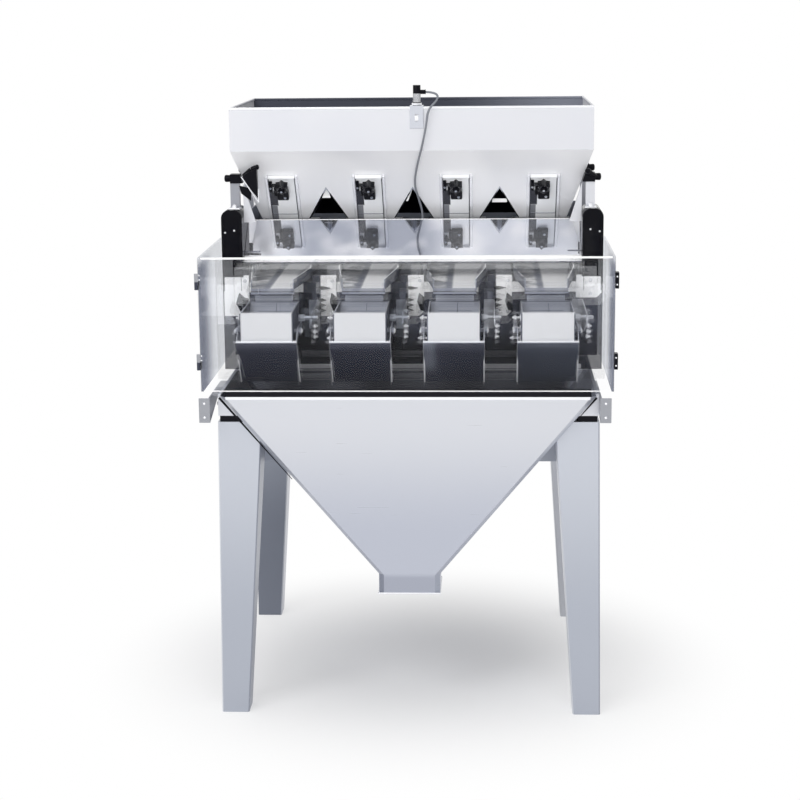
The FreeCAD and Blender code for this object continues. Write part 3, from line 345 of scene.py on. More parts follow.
# Paler on faces to the back, and painted light on front faces between Z 0.95 and 1.085.
cabinetSheet = {
    "colour": "#a2a6b1", "metallic": 0.6, "roughness": 0.32, "spread": 0.06, "grain": (0.2, 0.0015, 0.0015),
    "tones": [
        {"colour": "#bfc2cb", "facing": backward, "amount": 0.7},
        {"colour": "#f0f1f4", "facing": forward, "ramps": [("Z", 0.95, 0.97), ("Z", 1.085, 1.075)]},
    ],
}
# Turned and folded small pieces: their near-white colour is a painted highlight, so that they stand out from
# the sheet.
turnedSteel = {"colour": "#f1f2f6", "metallic": 0.35, "roughness": 0.18}
# Painted shade on front faces and on faces to the right.
bracketSheet = {
    "colour": "#a9abb2", "metallic": 0.4, "roughness": 0.32,
    "tones": [
        {"colour": "#9b9da3", "facing": forward},
        {"colour": "#8d909a", "facing": rightward, "amount": 0.7},
    ],
}
# Painted highlight: plain white, for the glint along hems and edges.
lipSheet = {"colour": "#ffffff", "metallic": 0.05, "roughness": 0.3}
# Bright stainless folds, with a painted highlight in their near-white colour.
trimSheet = {"colour": "#f0f1f5", "metallic": 0.4, "roughness": 0.25}


def makeAcrylic(name, tone, zone=None):
    # Cast acrylic with polished faces: clear, with the faint grey of its thickness, and the zone's painted
    # reflection where one is given.
    finish, tree, shader = newFinish(name, "#f4f6fa", 0.0, 0.02,
                                     **{"Transmission Weight": 1.0, "IOR": 1.49})
    path = addNode(tree, "ShaderNodeLightPath")
    clear = addNode(tree, "ShaderNodeBsdfTransparent", {"Color": linearColour(tone)})
    if zone:
        place = addNode(tree, "ShaderNodeTexCoord")
        tree.links.new(tint(tree, tone, place, zone), clear.inputs["Color"])
    thin = addNode(tree, "ShaderNodeMixShader", {0: 0.8}, {1: shader.outputs["BSDF"], 2: clear.outputs["BSDF"]})
    setSurface(tree, addNode(tree, "ShaderNodeMixShader", links={
        0: path.outputs["Is Shadow Ray"], 1: thin.outputs["Shader"], 2: clear.outputs["BSDF"]}))
    return finish


def makeBlackNylon(name, colour, roughness, speck):
    # Moulded glass-filled nylon: deep black with a soft sheen and a fine pebbled skin.
    finish, tree, shader = newFinish(name, colour, 0.0, roughness, **{"Specular IOR Level": 0.1})
    addBumps(tree, shader, addNode(tree, "ShaderNodeTexCoord"), speck, 2.0, 0.25, 0.0004)
    return finish


finishes = {
    "hopper": makeSteel("satin stainless sheet", hopperSheet),
    "hopperInside": makeSteel("satin stainless sheet, painted shade inside", hopperInside),
    "ridge": makeSteel("satin stainless ridge", ridgeSheet),
    "mirror": makeSteel("mirror polished stainless sheet", mirrorSheet),
    "cover": makeSteel("mirror polished stainless cover", coverSheet),
    "gate": makeSteel("mirror polished stainless gate", gateSheet),
    "pan": makeSteel("mirror polished stainless pan", panSheet),
    "bucket": makeSteel("bead blasted stainless sheet", bucketSheet),
    "door": makeSteel("polished stainless, painted shade", doorSheet),
    "housing": makeSteel("polished stainless housing", housingSheet),
    "shelf": makeSteel("satin stainless shelf", shelfSheet),
    "funnel": makeSteel("satin stainless funnel", funnelSheet),
    "leg": makeSteel("brushed stainless leg", legSheet),
    "rearLeg": makeSteel("brushed stainless leg, painted shade", rearLegSheet),
    "frame": makeSteel("brushed stainless frame", frameSheet),
    "post": makeSteel("brushed stainless post", postSheet),
    "cabinet": makeSteel("brushed stainless cabinet", cabinetSheet),
    "bracket": makeSteel("brushed stainless bracket", bracketSheet),
    "lip": makeSteel("stainless lip, painted highlight", lipSheet),
    "turned": makeSteel("turned stainless", turnedSteel),
    "trim": makeSteel("bright stainless fold", trimSheet),
    "acrylic": makeAcrylic("clear cast acrylic", "#ffffff"),
    # The side panes get a painted reflection: grey towards their front top.
    "pane": makeAcrylic("clear cast acrylic, painted reflection", "#f6f7f9",
                        {"colour": "#b1b4be", "ramps": [("Y", -0.2, -0.36), ("Z", 1.085, 1.05)]}),
    "nylon": makeBlackNylon("black moulded nylon", "#0b0b12", 0.3, 0.0012),
    "rubber": makeBlackNylon("black nitrile rubber", "#17171c", 0.6, 0.002),
    "gloss": makeBlackNylon("black gloss enamel", "#08080f", 0.12, 0.03),
    "cable": makeBlackNylon("grey pvc cable sheath", "#83868d", 0.45, 0.004),
}
print("finishes made")

finishOf = {
    "front_legs": "leg", "rear_legs": "rearLeg", "leg_pads": "rubber", "frame_rails": "frame",
    "corner_brackets": "bracket", "control_cabinet": "cabinet", "cabinet_panel": "cabinet",
    "drive_housing": "housing", "collecting_funnel": "funnel", "guard_door": "acrylic",
    "guard_sides": "pane", "guard_seal": "rubber", "hinge_pins": "door", "hinge_eyes": "bracket",
    "guard_latches": "nylon", "upper_cover": "cover", "end_covers": "gloss", "rear_cover": "cabinet",
    "hopper_posts": "post", "post_clamps": "nylon", "hopper_front": "hopper",
    "hopper_back": "hopperInside", "hopper_sides": "hopper", "hopper_dividers": "ridge",
    "gate_guides": "trim", "feeder_pans": "pan", "vibrator_drives": "cabinet", "pan_shelf": "shelf",
    "bucket_hangers": "trim", "door_pushers": "rearLeg", "sensor_bracket": "mirror",
    "level_sensor": "nylon", "cable_gland": "nylon", "sensor_cable": "cable",
}
for number in heads:
    finishOf[f"gate_plate_{number}"] = "gate"
    finishOf[f"weigh_bucket_{number}"] = "bucket"
    finishOf[f"weigh_door_{number}"] = "door"

# Small radii along the edges of the sheet metal and blocks, which catch the light.
edgeRound = {"steel": 0.0006, "block": 0.0015, "thick": ("leg_pads", "guard_latches", "post_clamps"),
             "weld": 0.00001, "sharp": 35}
for name, node in nodes.items():
    node.data.materials.clear()
    node.data.materials.append(finishes[finishOf[name]])
    if name == "sensor_cable":
        continue  # drawn anew as a curve below
    weld = node.modifiers.new("Weld", "WELD")
    weld.merge_threshold = edgeRound["weld"]
    bevel = node.modifiers.new("Bevel", "BEVEL")
    bevel.width = edgeRound["block"] if name in edgeRound["thick"] else edgeRound["steel"]
    bevel.segments = 2
    bevel.limit_method = "ANGLE"
    bevel.angle_limit = math.radians(edgeRound["sharp"])
    bevel.use_clamp_overlap = True
print("CAD nodes dressed")


def softenEdges(bm, edges, bevel):
    bmesh.ops.bevel(bm, geom=edges, offset=bevel, affect="EDGES", segments=2, profile=0.5, material=-1)


def edgesOf(verts):
    return list({edge for vert in verts for edge in vert.link_edges})


def turnTo(direction):
    # Turns Z into the direction.
    return Vector(direction).to_track_quat("Z", "Y").to_matrix().to_4x4()


def addBox(bm, low, high, bevel=0.0, place=None):
    made = bmesh.ops.create_cube(bm, size=1.0)["verts"]
    bmesh.ops.scale(bm, vec=[b - a for a, b in zip(low, high)], verts=made)
    bmesh.ops.translate(bm, vec=[(a + b) / 2 for a, b in zip(low, high)], verts=made)
    if place:
        bmesh.ops.transform(bm, matrix=place, verts=made)
    if bevel:
        softenEdges(bm, edgesOf(made), bevel)


def addSideBox(bm, side, across, deep, tall, bevel):
    # A box on one side of the middle, from its spans in X, Y and Z.
    left, right = sorted(side * x for x in across)
    addBox(bm, (left, deep[0], tall[0]), (right, deep[1], tall[1]), bevel)


def addRod(bm, start, end, diameter, sides=20, taper=1.0, bevel=0.0):
    start, end = Vector(start), Vector(end)
    made = bmesh.ops.create_cone(
        bm, cap_ends=True, segments=sides, radius1=diameter / 2, radius2=diameter * taper / 2,
        depth=(end - start).length, matrix=Matrix.Translation((start + end) / 2) @ turnTo(end - start))["verts"]
    if bevel:
        rims = [edge for edge in edgesOf(made) if any(len(face.verts) > 4 for face in edge.link_faces)]
        softenEdges(bm, rims, bevel)


def addDome(bm, seat, towards, diameter, rise):
    place = Matrix.Translation(seat) @ turnTo(towards) @ Matrix.Diagonal((1, 1, rise * 2 / diameter, 1))
    bmesh.ops.create_uvsphere(bm, u_segments=16, v_segments=8, radius=diameter / 2, matrix=place)


def addBolt(bm, seat, towards, thread):
    # Washer, hexagon head and the crown of the head.
    seat, towards = Vector(seat), Vector(towards).normalized()
    washer, top = seat + towards * thread * 0.18, seat + towards * thread * 0.85
    addRod(bm, seat - towards * 0.0004, washer, thread * 2.2, bevel=thread * 0.05)
    addRod(bm, washer, top, thread * 1.85, 6, bevel=thread * 0.08)
    addDome(bm, top, towards, thread * 1.4, thread * 0.12)


def addStud(bm, start, end, thread):
    # Threaded stud with a nut near its end and a round, bright tip.
    start, end = Vector(start), Vector(end)
    along = (end - start).normalized()
    addRod(bm, start, end, thread, 16)
    addRod(bm, end - along * thread * 1.3, end - along * thread * 0.5, thread * 1.9, 6, bevel=thread * 0.1)
    addDome(bm, end, along, thread, thread * 0.45)


def addPlate(bm, corners, y, depth, bevel):
    # A flat plate from its corners in X and Z, drawn out along Y.
    face = bm.faces.new([bm.verts.new((x, y, z)) for x, z in corners])
    made = bmesh.ops.extrude_face_region(bm, geom=[face])["geom"]
    moved = [part for part in made if isinstance(part, bmesh.types.BMVert)]
    bmesh.ops.translate(bm, vec=(0, depth, 0), verts=moved)
    softenEdges(bm, edgesOf(moved + list(face.verts)), bevel)


def addSpring(bm, start, end, diameter, wire, turns):
    # Round wire, wound in 14 steps a turn.
    start, end = Vector(start), Vector(end)
    along = (end - start).normalized()
    side = along.orthogonal().normalized()
    place = Matrix.Translation(start + side * diameter / 2) @ turnTo(along.cross(side))
    ring = bmesh.ops.create_circle(bm, cap_ends=True, segments=6, radius=wire / 2, matrix=place)["verts"]
    faces, steps = list({face for vert in ring for face in vert.link_faces}), turns * 14
    bmesh.ops.spin(bm, geom=faces, cent=start, axis=along, dvec=(end - start) / steps,
                   angle=math.tau * turns, steps=steps, use_merge=False)


def finishPiece(name, bm, finish, body="machine", place=None, slot=None, sharp=35):
    if place:
        bmesh.ops.transform(bm, matrix=place, verts=bm.verts)
    bmesh.ops.recalc_face_normals(bm, faces=bm.faces)
    mesh = bpy.data.meshes.new(name)
    bm.to_mesh(mesh)
    bm.free()
    mesh.shade_smooth()
    mesh.set_sharp_from_angle(angle=math.radians(sharp))
    mesh.materials.append(finishes[finish])
    piece = bpy.data.objects.new(name, mesh)
    bpy.context.collection.objects.link(piece)
    piece.modifiers.new("Weighted Normal", "WEIGHTED_NORMAL").keep_sharp = True  # flat faces stay flat
    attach(piece, body)


def addLouvre(bm, x, y, z, length=0.12, radius=0.005):
    # One pressed louvre: the upper half of a round bar, flat below.
    place = Matrix.Translation((x, y, z)) @ Matrix.Rotation(math.pi / 2, 4, "Y")
    made = bmesh.ops.create_cone(bm, cap_ends=True, segments=16, radius1=radius, radius2=radius, depth=length,
                                 matrix=place)["verts"]
    geometry = made + edgesOf(made) + list({face for vert in made for face in vert.link_faces})
    bmesh.ops.bisect_plane(bm, geom=geometry, plane_co=(x, y, z), plane_no=down, clear_outer=True)
    bmesh.ops.holes_fill(bm, edges=[edge for edge in bm.edges if edge.is_boundary], sides=0)


# The keys of a piece's dictionary, and the function that takes each of their rows.
kinds = {"boxes": addBox, "rods": addRod, "domes": addDome, "bolts": addBolt, "plates": addPlate,
         "springs": addSpring, "louvres": addLouvre}


def makePiece(name, finish, look, **more):
    # Makes a piece from its dictionary alone.
    bm = bmesh.new()
    for kind, rows in look.items():
        for row in rows:
            kinds[kind](bm, *row)
    finishPiece(name, bm, finish, **more)


# Levels and faces that the pieces below are placed by.
hopperLow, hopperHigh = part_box("hopper_front")
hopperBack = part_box("hopper_back")[1].y
housingLow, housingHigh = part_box("drive_housing")
coverLow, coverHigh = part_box("upper_cover")
funnelLow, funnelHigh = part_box("collecting_funnel")
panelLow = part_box("cabinet_panel")[0]
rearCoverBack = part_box("rear_cover")[1].y
endLow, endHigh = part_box("end_covers")

# Sensor cable: the same corners as the tube in the CAD model, as a smooth curve.
sensorCable = {
    "diameter": 0.005, "length": 0.5706,
    "corners": [
        (0.024, -0.037, 1.424), (0.057, -0.037, 1.424), (0.0672, -0.061, 1.41), (0.041, -0.068, 1.385),
        (0.037, -0.068, 1.3492), (0.028, -0.068, 1.3043), (0.011, -0.0273, 1.2422), (0.005, 0.0103, 1.2),
        (0.014, 0.0401, 1.1666), (0.0239, 0.0742, 1.124), (0.018, 0.084, 1.0672), (0.018, 0.0845, 1.0176),
        (0.018, 0.084, 0.9579)],
}


def makeSensorCable():
    curve = bpy.data.curves.new("sensor_lead", "CURVE")
    curve.dimensions = "3D"
    curve.bevel_depth = sensorCable["diameter"] / 2
    curve.bevel_resolution = 6
    curve.resolution_u = 12
    curve.use_fill_caps = True
    line = curve.splines.new("NURBS")
    line.points.add(len(sensorCable["corners"]) - 1)
    for point, corner in zip(line.points, sensorCable["corners"]):
        point.co = (*corner, 1)
    line.order_u = 3
    line.use_endpoint_u = True
    curve.materials.append(finishes["cable"])
    lead = bpy.data.objects.new("sensor_lead", curve)
    bpy.context.collection.objects.link(lead)
    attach(lead, "machine")
    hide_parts("sensor_cable")


# The photograph's viewpoint, turned by these angles in degrees.
photoView = {"place": (0.173, -4.4185, 1.614), "lens": 82.75,
             "turns": ((2.683, "Z"), (78.013, "X"), (-0.547, "Z"))}


def makeCamera():
    camera = bpy.data.cameras.new("photo")
    camera.lens = photoView["lens"]
    camera.sensor_width = 36
    camera.clip_end = 200
    holder = bpy.data.objects.new("photo", camera)
    place = Matrix.Translation(photoView["place"])
    for angle, axis in photoView["turns"]:
        place = place @ Matrix.Rotation(math.radians(angle), 4, axis)
    holder.matrix_world = place
    bpy.context.collection.objects.link(holder)
    bpy.context.scene.camera = holder


makeCamera()
makeSensorCable()
print("camera and cable set")

# The hopper's sloping front as a frame of its own: X across, Z up along the slope, -Y outwards.
hopperSlope = {"front": -0.054, "fold": 1.288, "run": 0.152, "height": 0.176}
slopeFrame = (Matrix.Translation((0, hopperSlope["front"], hopperSlope["fold"]))
              @ Matrix.Rotation(math.atan(hopperSlope["run"] / hopperSlope["height"]), 4, "X"))

rimHem = {"size": 0.005, "proud": 0.0012, "rise": 0.001, "sideRise": 0.0008, "bevel": 0.0012}


def makeRimHem():
    # The sheet's top edge is folded over all round. The front one is a thin band with a painted highlight;
    # the others carry the inside's painted shade.
    x, front, z, size, rise = hopperHigh.x, hopperLow.y, hopperHigh.z, rimHem["size"], rimHem["rise"]
    low, bevel = z - size, rimHem["bevel"]
    bm = bmesh.new()
    addBox(bm, (-x, front - rimHem["proud"], low), (x, front + size, z + rise), bevel)
    finishPiece("hopper_front_hem", bm, "trim")
    bm = bmesh.new()
    addBox(bm, (-x, hopperBack - size, low), (x, hopperBack, z + rise), bevel)
    for side in (-1, 1):
        addSideBox(bm, side, (x - size, x), (front + rise, hopperBack - rise), (low, z + rimHem["sideRise"]), bevel)
    finishPiece("hopper_rim_hem", bm, "hopperInside")


# In the slope's frame, from the gate's middle.
gateTrim = {"half": 0.032, "top": -0.083, "low": -0.264, "line": -0.212, "deep": (-0.0052, -0.0035),
            "border": 0.0014}
gateKnob = {
    "rods": [((0, -0.004, -0.107), (0, -0.029, -0.107), 0.019, 24, 0.85, 0.001)],
    "domes": [((0, -0.029, -0.107), forward, 0.015, 0.002)],
    "boxes": [((-0.013, -0.019, -0.149), (0.015, -0.004, -0.121), 0.003),
              ((-0.031, -0.016, -0.123), (-0.023, -0.004, -0.095), 0.002),
              ((-0.02, -0.012, -0.141), (-0.01, -0.004, -0.113), 0.002)],
}
gateScrews = {
    "domes": [((0, -0.0308, -0.107), forward, 0.006, 0.0014)],
    "bolts": [((0.006, -0.019, -0.139), forward, 0.003), ((-0.027, -0.016, -0.109), forward, 0.0026)],
}


def makeGateTrim(number, place):
    # Raised border and cross fold of the gate's plate, and its black clamp with screws. Border, fold and screws
    # are drawn in the painted-shade steels, so they show as dark lines.
    place, body, (front, back) = slopeFrame @ place, f"gate_{number}", gateTrim["deep"]
    half, border, low = gateTrim["half"], gateTrim["border"], gateTrim["low"]
    bm = bmesh.new()
    for side in (-1, 1):
        addSideBox(bm, side, (half - border, half), (front, back), (low, gateTrim["top"]), 0.0004)
    for level in (gateTrim["line"], low):
        addBox(bm, (border - half, front, level), (half - border, back, level + border), 0.0004)
    finishPiece(f"gate_border_{number}", bm, "door", body, place)
    makePiece(f"gate_knob_hub_{number}", "nylon", gateKnob, body=body, place=place)
    makePiece(f"gate_screws_{number}", "rearLeg", gateScrews, body=body, place=place)


bucketTrim = {"half": 0.0585, "front": -0.376, "back": -0.206, "top": 0.952, "fold": 0.885,
              "mouthBack": -0.306, "mouth": 0.786, "hem": 0.003, "edge": 0.0012, "proud": 0.0002}
bucketSeam = {"x": 0.006, "low": 0.83, "high": 0.948, "gap": 0.0026, "half": 0.0006, "deep": (-0.0008, 0.0004),
              "cross": (-0.044, 0.034), "crossAt": 0.86, "line": 0.001}


def makeBucketTrim(number, place):
    # Rolled hem round the rim, bright in front and with painted shade behind and on the front edges of the
    # sides, and the seams of the back.
    half, front, back, top, hem = (bucketTrim[key] for key in ("half", "front", "back", "top", "hem"))
    edge, middle = bucketTrim["edge"], hem / 2
    bm = bmesh.new()
    addRod(bm, (-half, front + middle, top), (half, front + middle, top), hem, 12)
    finishPiece(f"bucket_hem_{number}", bm, "bucket", place=place)
    bm = bmesh.new()
    addRod(bm, (-half, back - middle, top), (half, back - middle, top), hem, 12)
    for side in (-1, 1):
        x = side * (half - middle)
        addRod(bm, (x, front + hem, top), (x, back, top), hem, 12)
        addSideBox(bm, side, (half - edge, half + edge), (front - bucketTrim["proud"], front + hem),
                   (bucketTrim["fold"], top), 0.0004)
    finishPiece(f"bucket_edges_{number}", bm, "door", place=place)

    bm = bmesh.new()
    run, rise, low = back - bucketTrim["mouthBack"], top - bucketTrim["mouth"], bucketSeam["low"]
    y = bucketTrim["mouthBack"] + run * (low - bucketTrim["mouth"]) / rise - bucketSeam["gap"]
    lean, thin = math.atan2(run, rise), bucketSeam["half"]
    (near, far), (left, right) = bucketSeam["deep"], bucketSeam["cross"]
    length = (bucketSeam["high"] - low) / math.cos(lean)
    level = length * bucketSeam["crossAt"]
    addBox(bm, (-thin, near, 0), (thin, far, length))
    addBox(bm, (left, near, level), (right, far, level + bucketSeam["line"]))
    finishPiece(f"bucket_seam_{number}", bm, "door", place=(
        place @ Matrix.Translation((bucketSeam["x"], y, low)) @ Matrix.Rotation(-lean, 4, "X")))


# By thread: each stud's start and end in X, its Y and Z.
studRows = {
    0.0055: ((-0.0575, -0.077, -0.29, 0.928), (-0.0575, -0.076, -0.27, 0.9), (-0.0575, -0.082, -0.262, 0.876)),
    0.006: ((0.092, 0.102, -0.24, 0.9), (0.092, 0.101, -0.23, 0.885), (0.092, 0.1, -0.22, 0.872)),
}
studDomes = (  # the roller's cap, and the ends of the door's pins
    ((0.104, -0.262, 0.924), rightward, 0.009, 0.0035), ((-0.0745, -0.33, 0.905), leftward, 0.012, 0.004),
    ((0.0745, -0.33, 0.905), rightward, 0.012, 0.004))
returnSprings = {
    "springs": [((-0.0715, -0.262, 0.877), (-0.0715, -0.29, 0.927), 0.008, 0.0014, 9),
                ((0.097, -0.2, 0.87), (0.097, -0.2, 0.93), 0.009, 0.0014, 10)],
    "rods": [((0.092, -0.2, level), (0.101, -0.2, level), 0.004, 12) for level in (0.931, 0.869)],
}


def makeBucketStuds(number, place):
    # Studs beside the bucket: with nuts on its left wall, and on the pusher's plate at its right.
    bm = bmesh.new()
    for thread, rows in studRows.items():
        for start, end, y, z in rows:
            addStud(bm, (start, y, z), (end, y, z), thread)
            if start < 0:  # on the left, a nut against the bucket's wall
                addRod(bm, (start, y, z), (start - 0.004, y, z), 0.013, 6, bevel=0.0005)
    for dome in studDomes:
        addDome(bm, *dome)
    finishPiece(f"bucket_studs_{number}", bm, "turned", place=place)
    makePiece(f"return_springs_{number}", "bracket", returnSprings, place=place, sharp=80)


doorTrim = {"half": 0.0685, "cheek": 0.0675, "top": (-0.3815, 0.8885), "low": (-0.309, 0.783), "lip": 0.0032,
            "fold": (-0.0012, 0.0004), "foldHeight": 0.0085, "foldBack": 0.001,
            "edge": (0.0014, 0.0012), "edgeShort": 0.002}


def makeDoorTrim(number, place):
    # Rolled lip and fold along the door's top edge, and the front edges of its cheeks, painted bright as a
    # highlight.
    low, high = Vector((0, *doorTrim["low"])), Vector((0, *doorTrim["top"]))
    half, tilt = doorTrim["half"], turnTo(high - low)
    bm = bmesh.new()
    addRod(bm, high - Vector((half, 0, 0)), high + Vector((half, 0, 0)), doorTrim["lip"], 16, bevel=0.0004)
    near, far = doorTrim["fold"]
    addBox(bm, (-half, near, -doorTrim["foldHeight"]), (half, far, 0), 0.0003,
           Matrix.Translation(high + Vector((0, doorTrim["foldBack"], 0))) @ tilt)
    finishPiece(f"door_lip_{number}", bm, "trim", f"door_{number}", place)
    bm = bmesh.new()
    x, y = doorTrim["edge"]
    length = (high - low).length - doorTrim["edgeShort"]
    for side in (-1, 1):
        addBox(bm, (-x, -y, 0), (x, y, length), 0.0004,
               Matrix.Translation(low + Vector((side * doorTrim["cheek"], 0, 0))) @ tilt)
    finishPiece(f"door_edges_{number}", bm, "trim", f"door_{number}", place)


flapStops = {"root": 0.118, "size": 0.0085, "y": -0.067, "depth": 0.0045, "waist": 0.4, "tip": 0.15,
             "points": ((0.963, 0.0905), (0.934, 0.1), (0.9215, 0.101), (0.909, 0.1012)),
             "shadePlate": ((-0.0925, 0.93), (-0.088, 0.951), (-0.075, 0.94), (-0.075, 0.906), (-0.085, 0.909)),
             "wideShadePlate": ((-0.1085, 0.927), (-0.1, 0.952), (-0.088, 0.94), (-0.078, 0.938), (-0.078, 0.906),
                            (-0.098, 0.906))}
flapBolts = {"x": -0.086, "y": -0.063, "levels": (0.905, 0.98), "last": ((0.425, 0.948), (0.425, 0.98)),
             "thread": 0.004}


def makeFlapFittings():
    # Black stops with pointed ends beside the white flaps, black plates that are painted shade on the
    # buckets' hangers, and the bolts that hold the flaps.
    stops, y, size = bmesh.new(), flapStops["y"], flapStops["size"]
    rows = list(flapBolts["last"])
    for number, x in heads.items():
        root = x - flapStops["root"]
        if number > 1:
            for level, reach in flapStops["points"]:
                start, end = Vector((root, y, level)), Vector((x - reach, y, level))
                waist = start.lerp(end, flapStops["waist"])
                addRod(stops, start, waist, size, 12)
                addRod(stops, waist, end, size, 12, flapStops["tip"])
        # painted shade: a black plate where each bucket's hanger lies in shade
        corners = flapStops["wideShadePlate"] if number == 1 else flapStops["shadePlate"]
        addPlate(stops, [(x + across, level) for across, level in corners], y, flapStops["depth"], 0.0008)
        rows += [(x + flapBolts["x"], level) for level in flapBolts["levels"]]
    finishPiece("flap_stops", stops, "nylon")
    bolts = bmesh.new()
    for x, level in rows:
        addBolt(bolts, (x, flapBolts["y"], level), forward, flapBolts["thread"])
    finishPiece("flap_bolts", bolts, "turned")


makeRimHem()
for number, x in heads.items():
    for make in (makeGateTrim, makeBucketTrim, makeBucketStuds, makeDoorTrim):
        make(number, Matrix.Translation((x, 0, 0)))
print("gates, buckets and doors finished")
makeFlapFittings()

endFittings = {  # screws and bolts of the end covers, and the catch with its bright bar on top of each
    "domes": [((side * x, endLow.y + 0.0002, z), forward, 0.005, 0.0016)
              for side in (-1, 1) for x, z in ((0.446, 1.096), (0.424, 1.101), (0.43, 0.985))],
    "bolts": [((x, y, endHigh.z), up, 0.004) for x in (-0.43, 0.43) for y in (-0.03, 0.03)],
    "boxes": [((x - 0.014, -0.045, endHigh.z - 0.001), (x + 0.014, -0.012, endHigh.z + 0.003), 0.001)
              for x in (-0.425, 0.425)],
    "rods": [((x, -0.04, endHigh.z + 0.006), (x, -0.016, endHigh.z + 0.006), 0.01, 16, 1.0, 0.001)
             for x in (-0.425, 0.425)],
}
makePiece("end_cover_fittings", "turned", endFittings)

# Moulded grips down the front edges of the end covers.
endRibs = {"boxes": [((x - 0.002, endLow.y - 0.003, 0.955), (x + 0.002, endLow.y + 0.001, 1.128), 0.001)
                     for x in (-0.4505, -0.4095, 0.4095, 0.4505)]}
makePiece("end_cover_ribs", "gloss", endRibs)

# Black pull at the hopper's left: a pointed wedge with a round grip along its top, and a foot.
hopperPull = {
    "plates": [
        (((-0.404, 1.226), (-0.394, 1.236), (-0.367, 1.248), (-0.366, 1.178)), -0.058, 0.022, 0.0015),
        (((-0.414, 1.205), (-0.384, 1.198), (-0.386, 1.168), (-0.409, 1.186)), -0.026, 0.0055, 0.001)],
    "rods": [((-0.4, -0.047, 1.229), (-0.381, -0.047, 1.2445), 0.011, 16, 1.15, 0.001),
             ((-0.381, -0.047, 1.2445), (-0.366, -0.047, 1.251), 0.01265, 16, 1.0, 0.003)],
    "domes": [((-0.366, -0.047, 1.251), (1, 0, 0.3), 0.0125, 0.004)],
}
makePiece("hopper_pull", "nylon", hopperPull)

# Bright bent strap that holds the pull to the slope.
pullStrap = {"rods": [((-0.404, -0.0575, 1.229), (-0.3635, -0.0575, 1.168), 0.003, 8),
                      ((-0.3635, -0.0575, 1.168), (-0.3635, -0.0575, 1.2), 0.0025, 8)]}
makePiece("pull_strap", "trim", pullStrap, slot="brushed_stainless")

# Pale plates behind the three notches, painted white: painted light on the sheet that shows there.
notchLitPatches = {"plates": [
    (((-0.222, 1.167), (-0.201, 1.167), (-0.2065, 1.188), (-0.211, 1.191), (-0.2135, 1.187)), 0.053, 0.0015, 0.0003),
    (((-0.0175, 1.158), (-0.0125, 1.158), (-0.0015, 1.186), (-0.0035, 1.188)), 0.058, 0.0015, 0.0003),
    (((0.192, 1.162), (0.228, 1.162), (0.228, 1.153), (0.192, 1.153)), 0.068, 0.0015, 0.0003)]}
makePiece("notch_lit_patches", "lip", notchLitPatches)

# Knobs of the four clamps, and the right front one's lever, which points up along the slope.
clampRows = [(side, y) for side in (-1, 1) for y in (-0.01, 0.25)]
clampKnobs = {
    "rods": [((side * 0.434, y, 1.221), (side * 0.448, y, 1.221), 0.016, 18, 1.1, 0.0015) for side, y in clampRows]
    + [((0.438, -0.02, 1.222), (0.418, -0.036, 1.236), 0.009, 14, 1.5)],
    "domes": [((side * 0.448, y, 1.221), (side, 0, 0), 0.0165, 0.003) for side, y in clampRows]
    + [((0.418, -0.036, 1.236), (-0.6, -0.5, 0.5), 0.0145, 0.008)],
}
makePiece("clamp_knobs", "nylon", clampKnobs)

# Screws of the guard's hinges and clips, and white strips along its foot and top: a painted highlight on
# the acrylic's edges.
hingeLevels = (0.83, 1.011)
guardScrews = {"domes": [((-0.457, -0.41, low + rise), backward, 0.0035, 0.0011)
                         for low in hingeLevels for rise in (0.022, 0.032)]}
paneScrews = {"domes": [((-0.462, -0.396, low + rise), leftward, 0.004, 0.0013)
                        for low in hingeLevels for rise in (0.006, 0.013)]
              + [((0.4641, -0.4085, low + rise), forward, 0.004, 0.0013)
                 for low in hingeLevels for rise in (0.009, 0.027)]}
guardEdgeHighlights = {"boxes": [((-0.453, -0.4102, 0.7812), (0.453, -0.409, 0.7832), 0.0004),
                        ((-0.453, -0.4102, 1.0785), (0.453, -0.409, 1.0828), 0.0004)]}
makePiece("guard_screws", "turned", guardScrews, body="guard")
makePiece("pane_screws", "turned", paneScrews)
makePiece("guard_edge_highlight", "lip", guardEdgeHighlights, body="guard")

# Folded flanges along the funnel's top edge, and a rolled edge round its outlet.
outlet = [(-0.071, -0.345, 0.29), (0.071, -0.345, 0.29), (0.071, -0.215, 0.29), (-0.071, -0.215, 0.29)]
funnelEdges = {
    "boxes": [((-0.41, near, funnelHigh.z - 0.007), (0.41, far, funnelHigh.z), 0.0008) for near, far in (
        (funnelLow.y - 0.0004, funnelLow.y + 0.003), (funnelHigh.y - 0.003, funnelHigh.y + 0.0002))],
    "rods": [(start, end, 0.004, 12) for start, end in zip(outlet, outlet[1:] + outlet[:1])],
    "domes": [(corner, up, 0.004, 0.002) for corner in outlet],
}
makePiece("funnel_edges", "trim", funnelEdges)

# Black tapering strips along the funnel's sloping ends, by the cradle: painted shade in the dark gap there.
funnelShadeLines = {"rods": [((-0.26465, -0.37015, 0.569), (-0.4235, -0.3895, 0.7625), 0.0016, 10, 3.4),
                         ((0.3882, -0.3852, 0.7195), (0.4235, -0.3895, 0.7625), 0.0016, 10, 3.4)]}
makePiece("funnel_shade_lines", "rubber", funnelShadeLines)

# Hems on the cover's lip and the foot of its slope, and a fold at its top, painted white as a highlight.
coverSlope = Matrix.Translation((0, coverLow.y, 1.0297)) @ Matrix.Rotation(math.radians(40.6), 4, "X")
coverHems = {"boxes": [
    ((coverLow.x, coverLow.y - 0.0009, 1.0225), (coverHigh.x, coverLow.y + 0.001, 1.0297), 0.0004),
    ((coverLow.x, -0.0005, -0.0005), (coverHigh.x, 0.01, 0.0006), 0.0003, coverSlope),
    (coverHigh - Vector((coverHigh.x - coverLow.x, 0.003, 0.003)), coverHigh + Vector((0, 0, 0.0012)), 0.0006)]}
makePiece("cover_hems", "lip", coverHems)

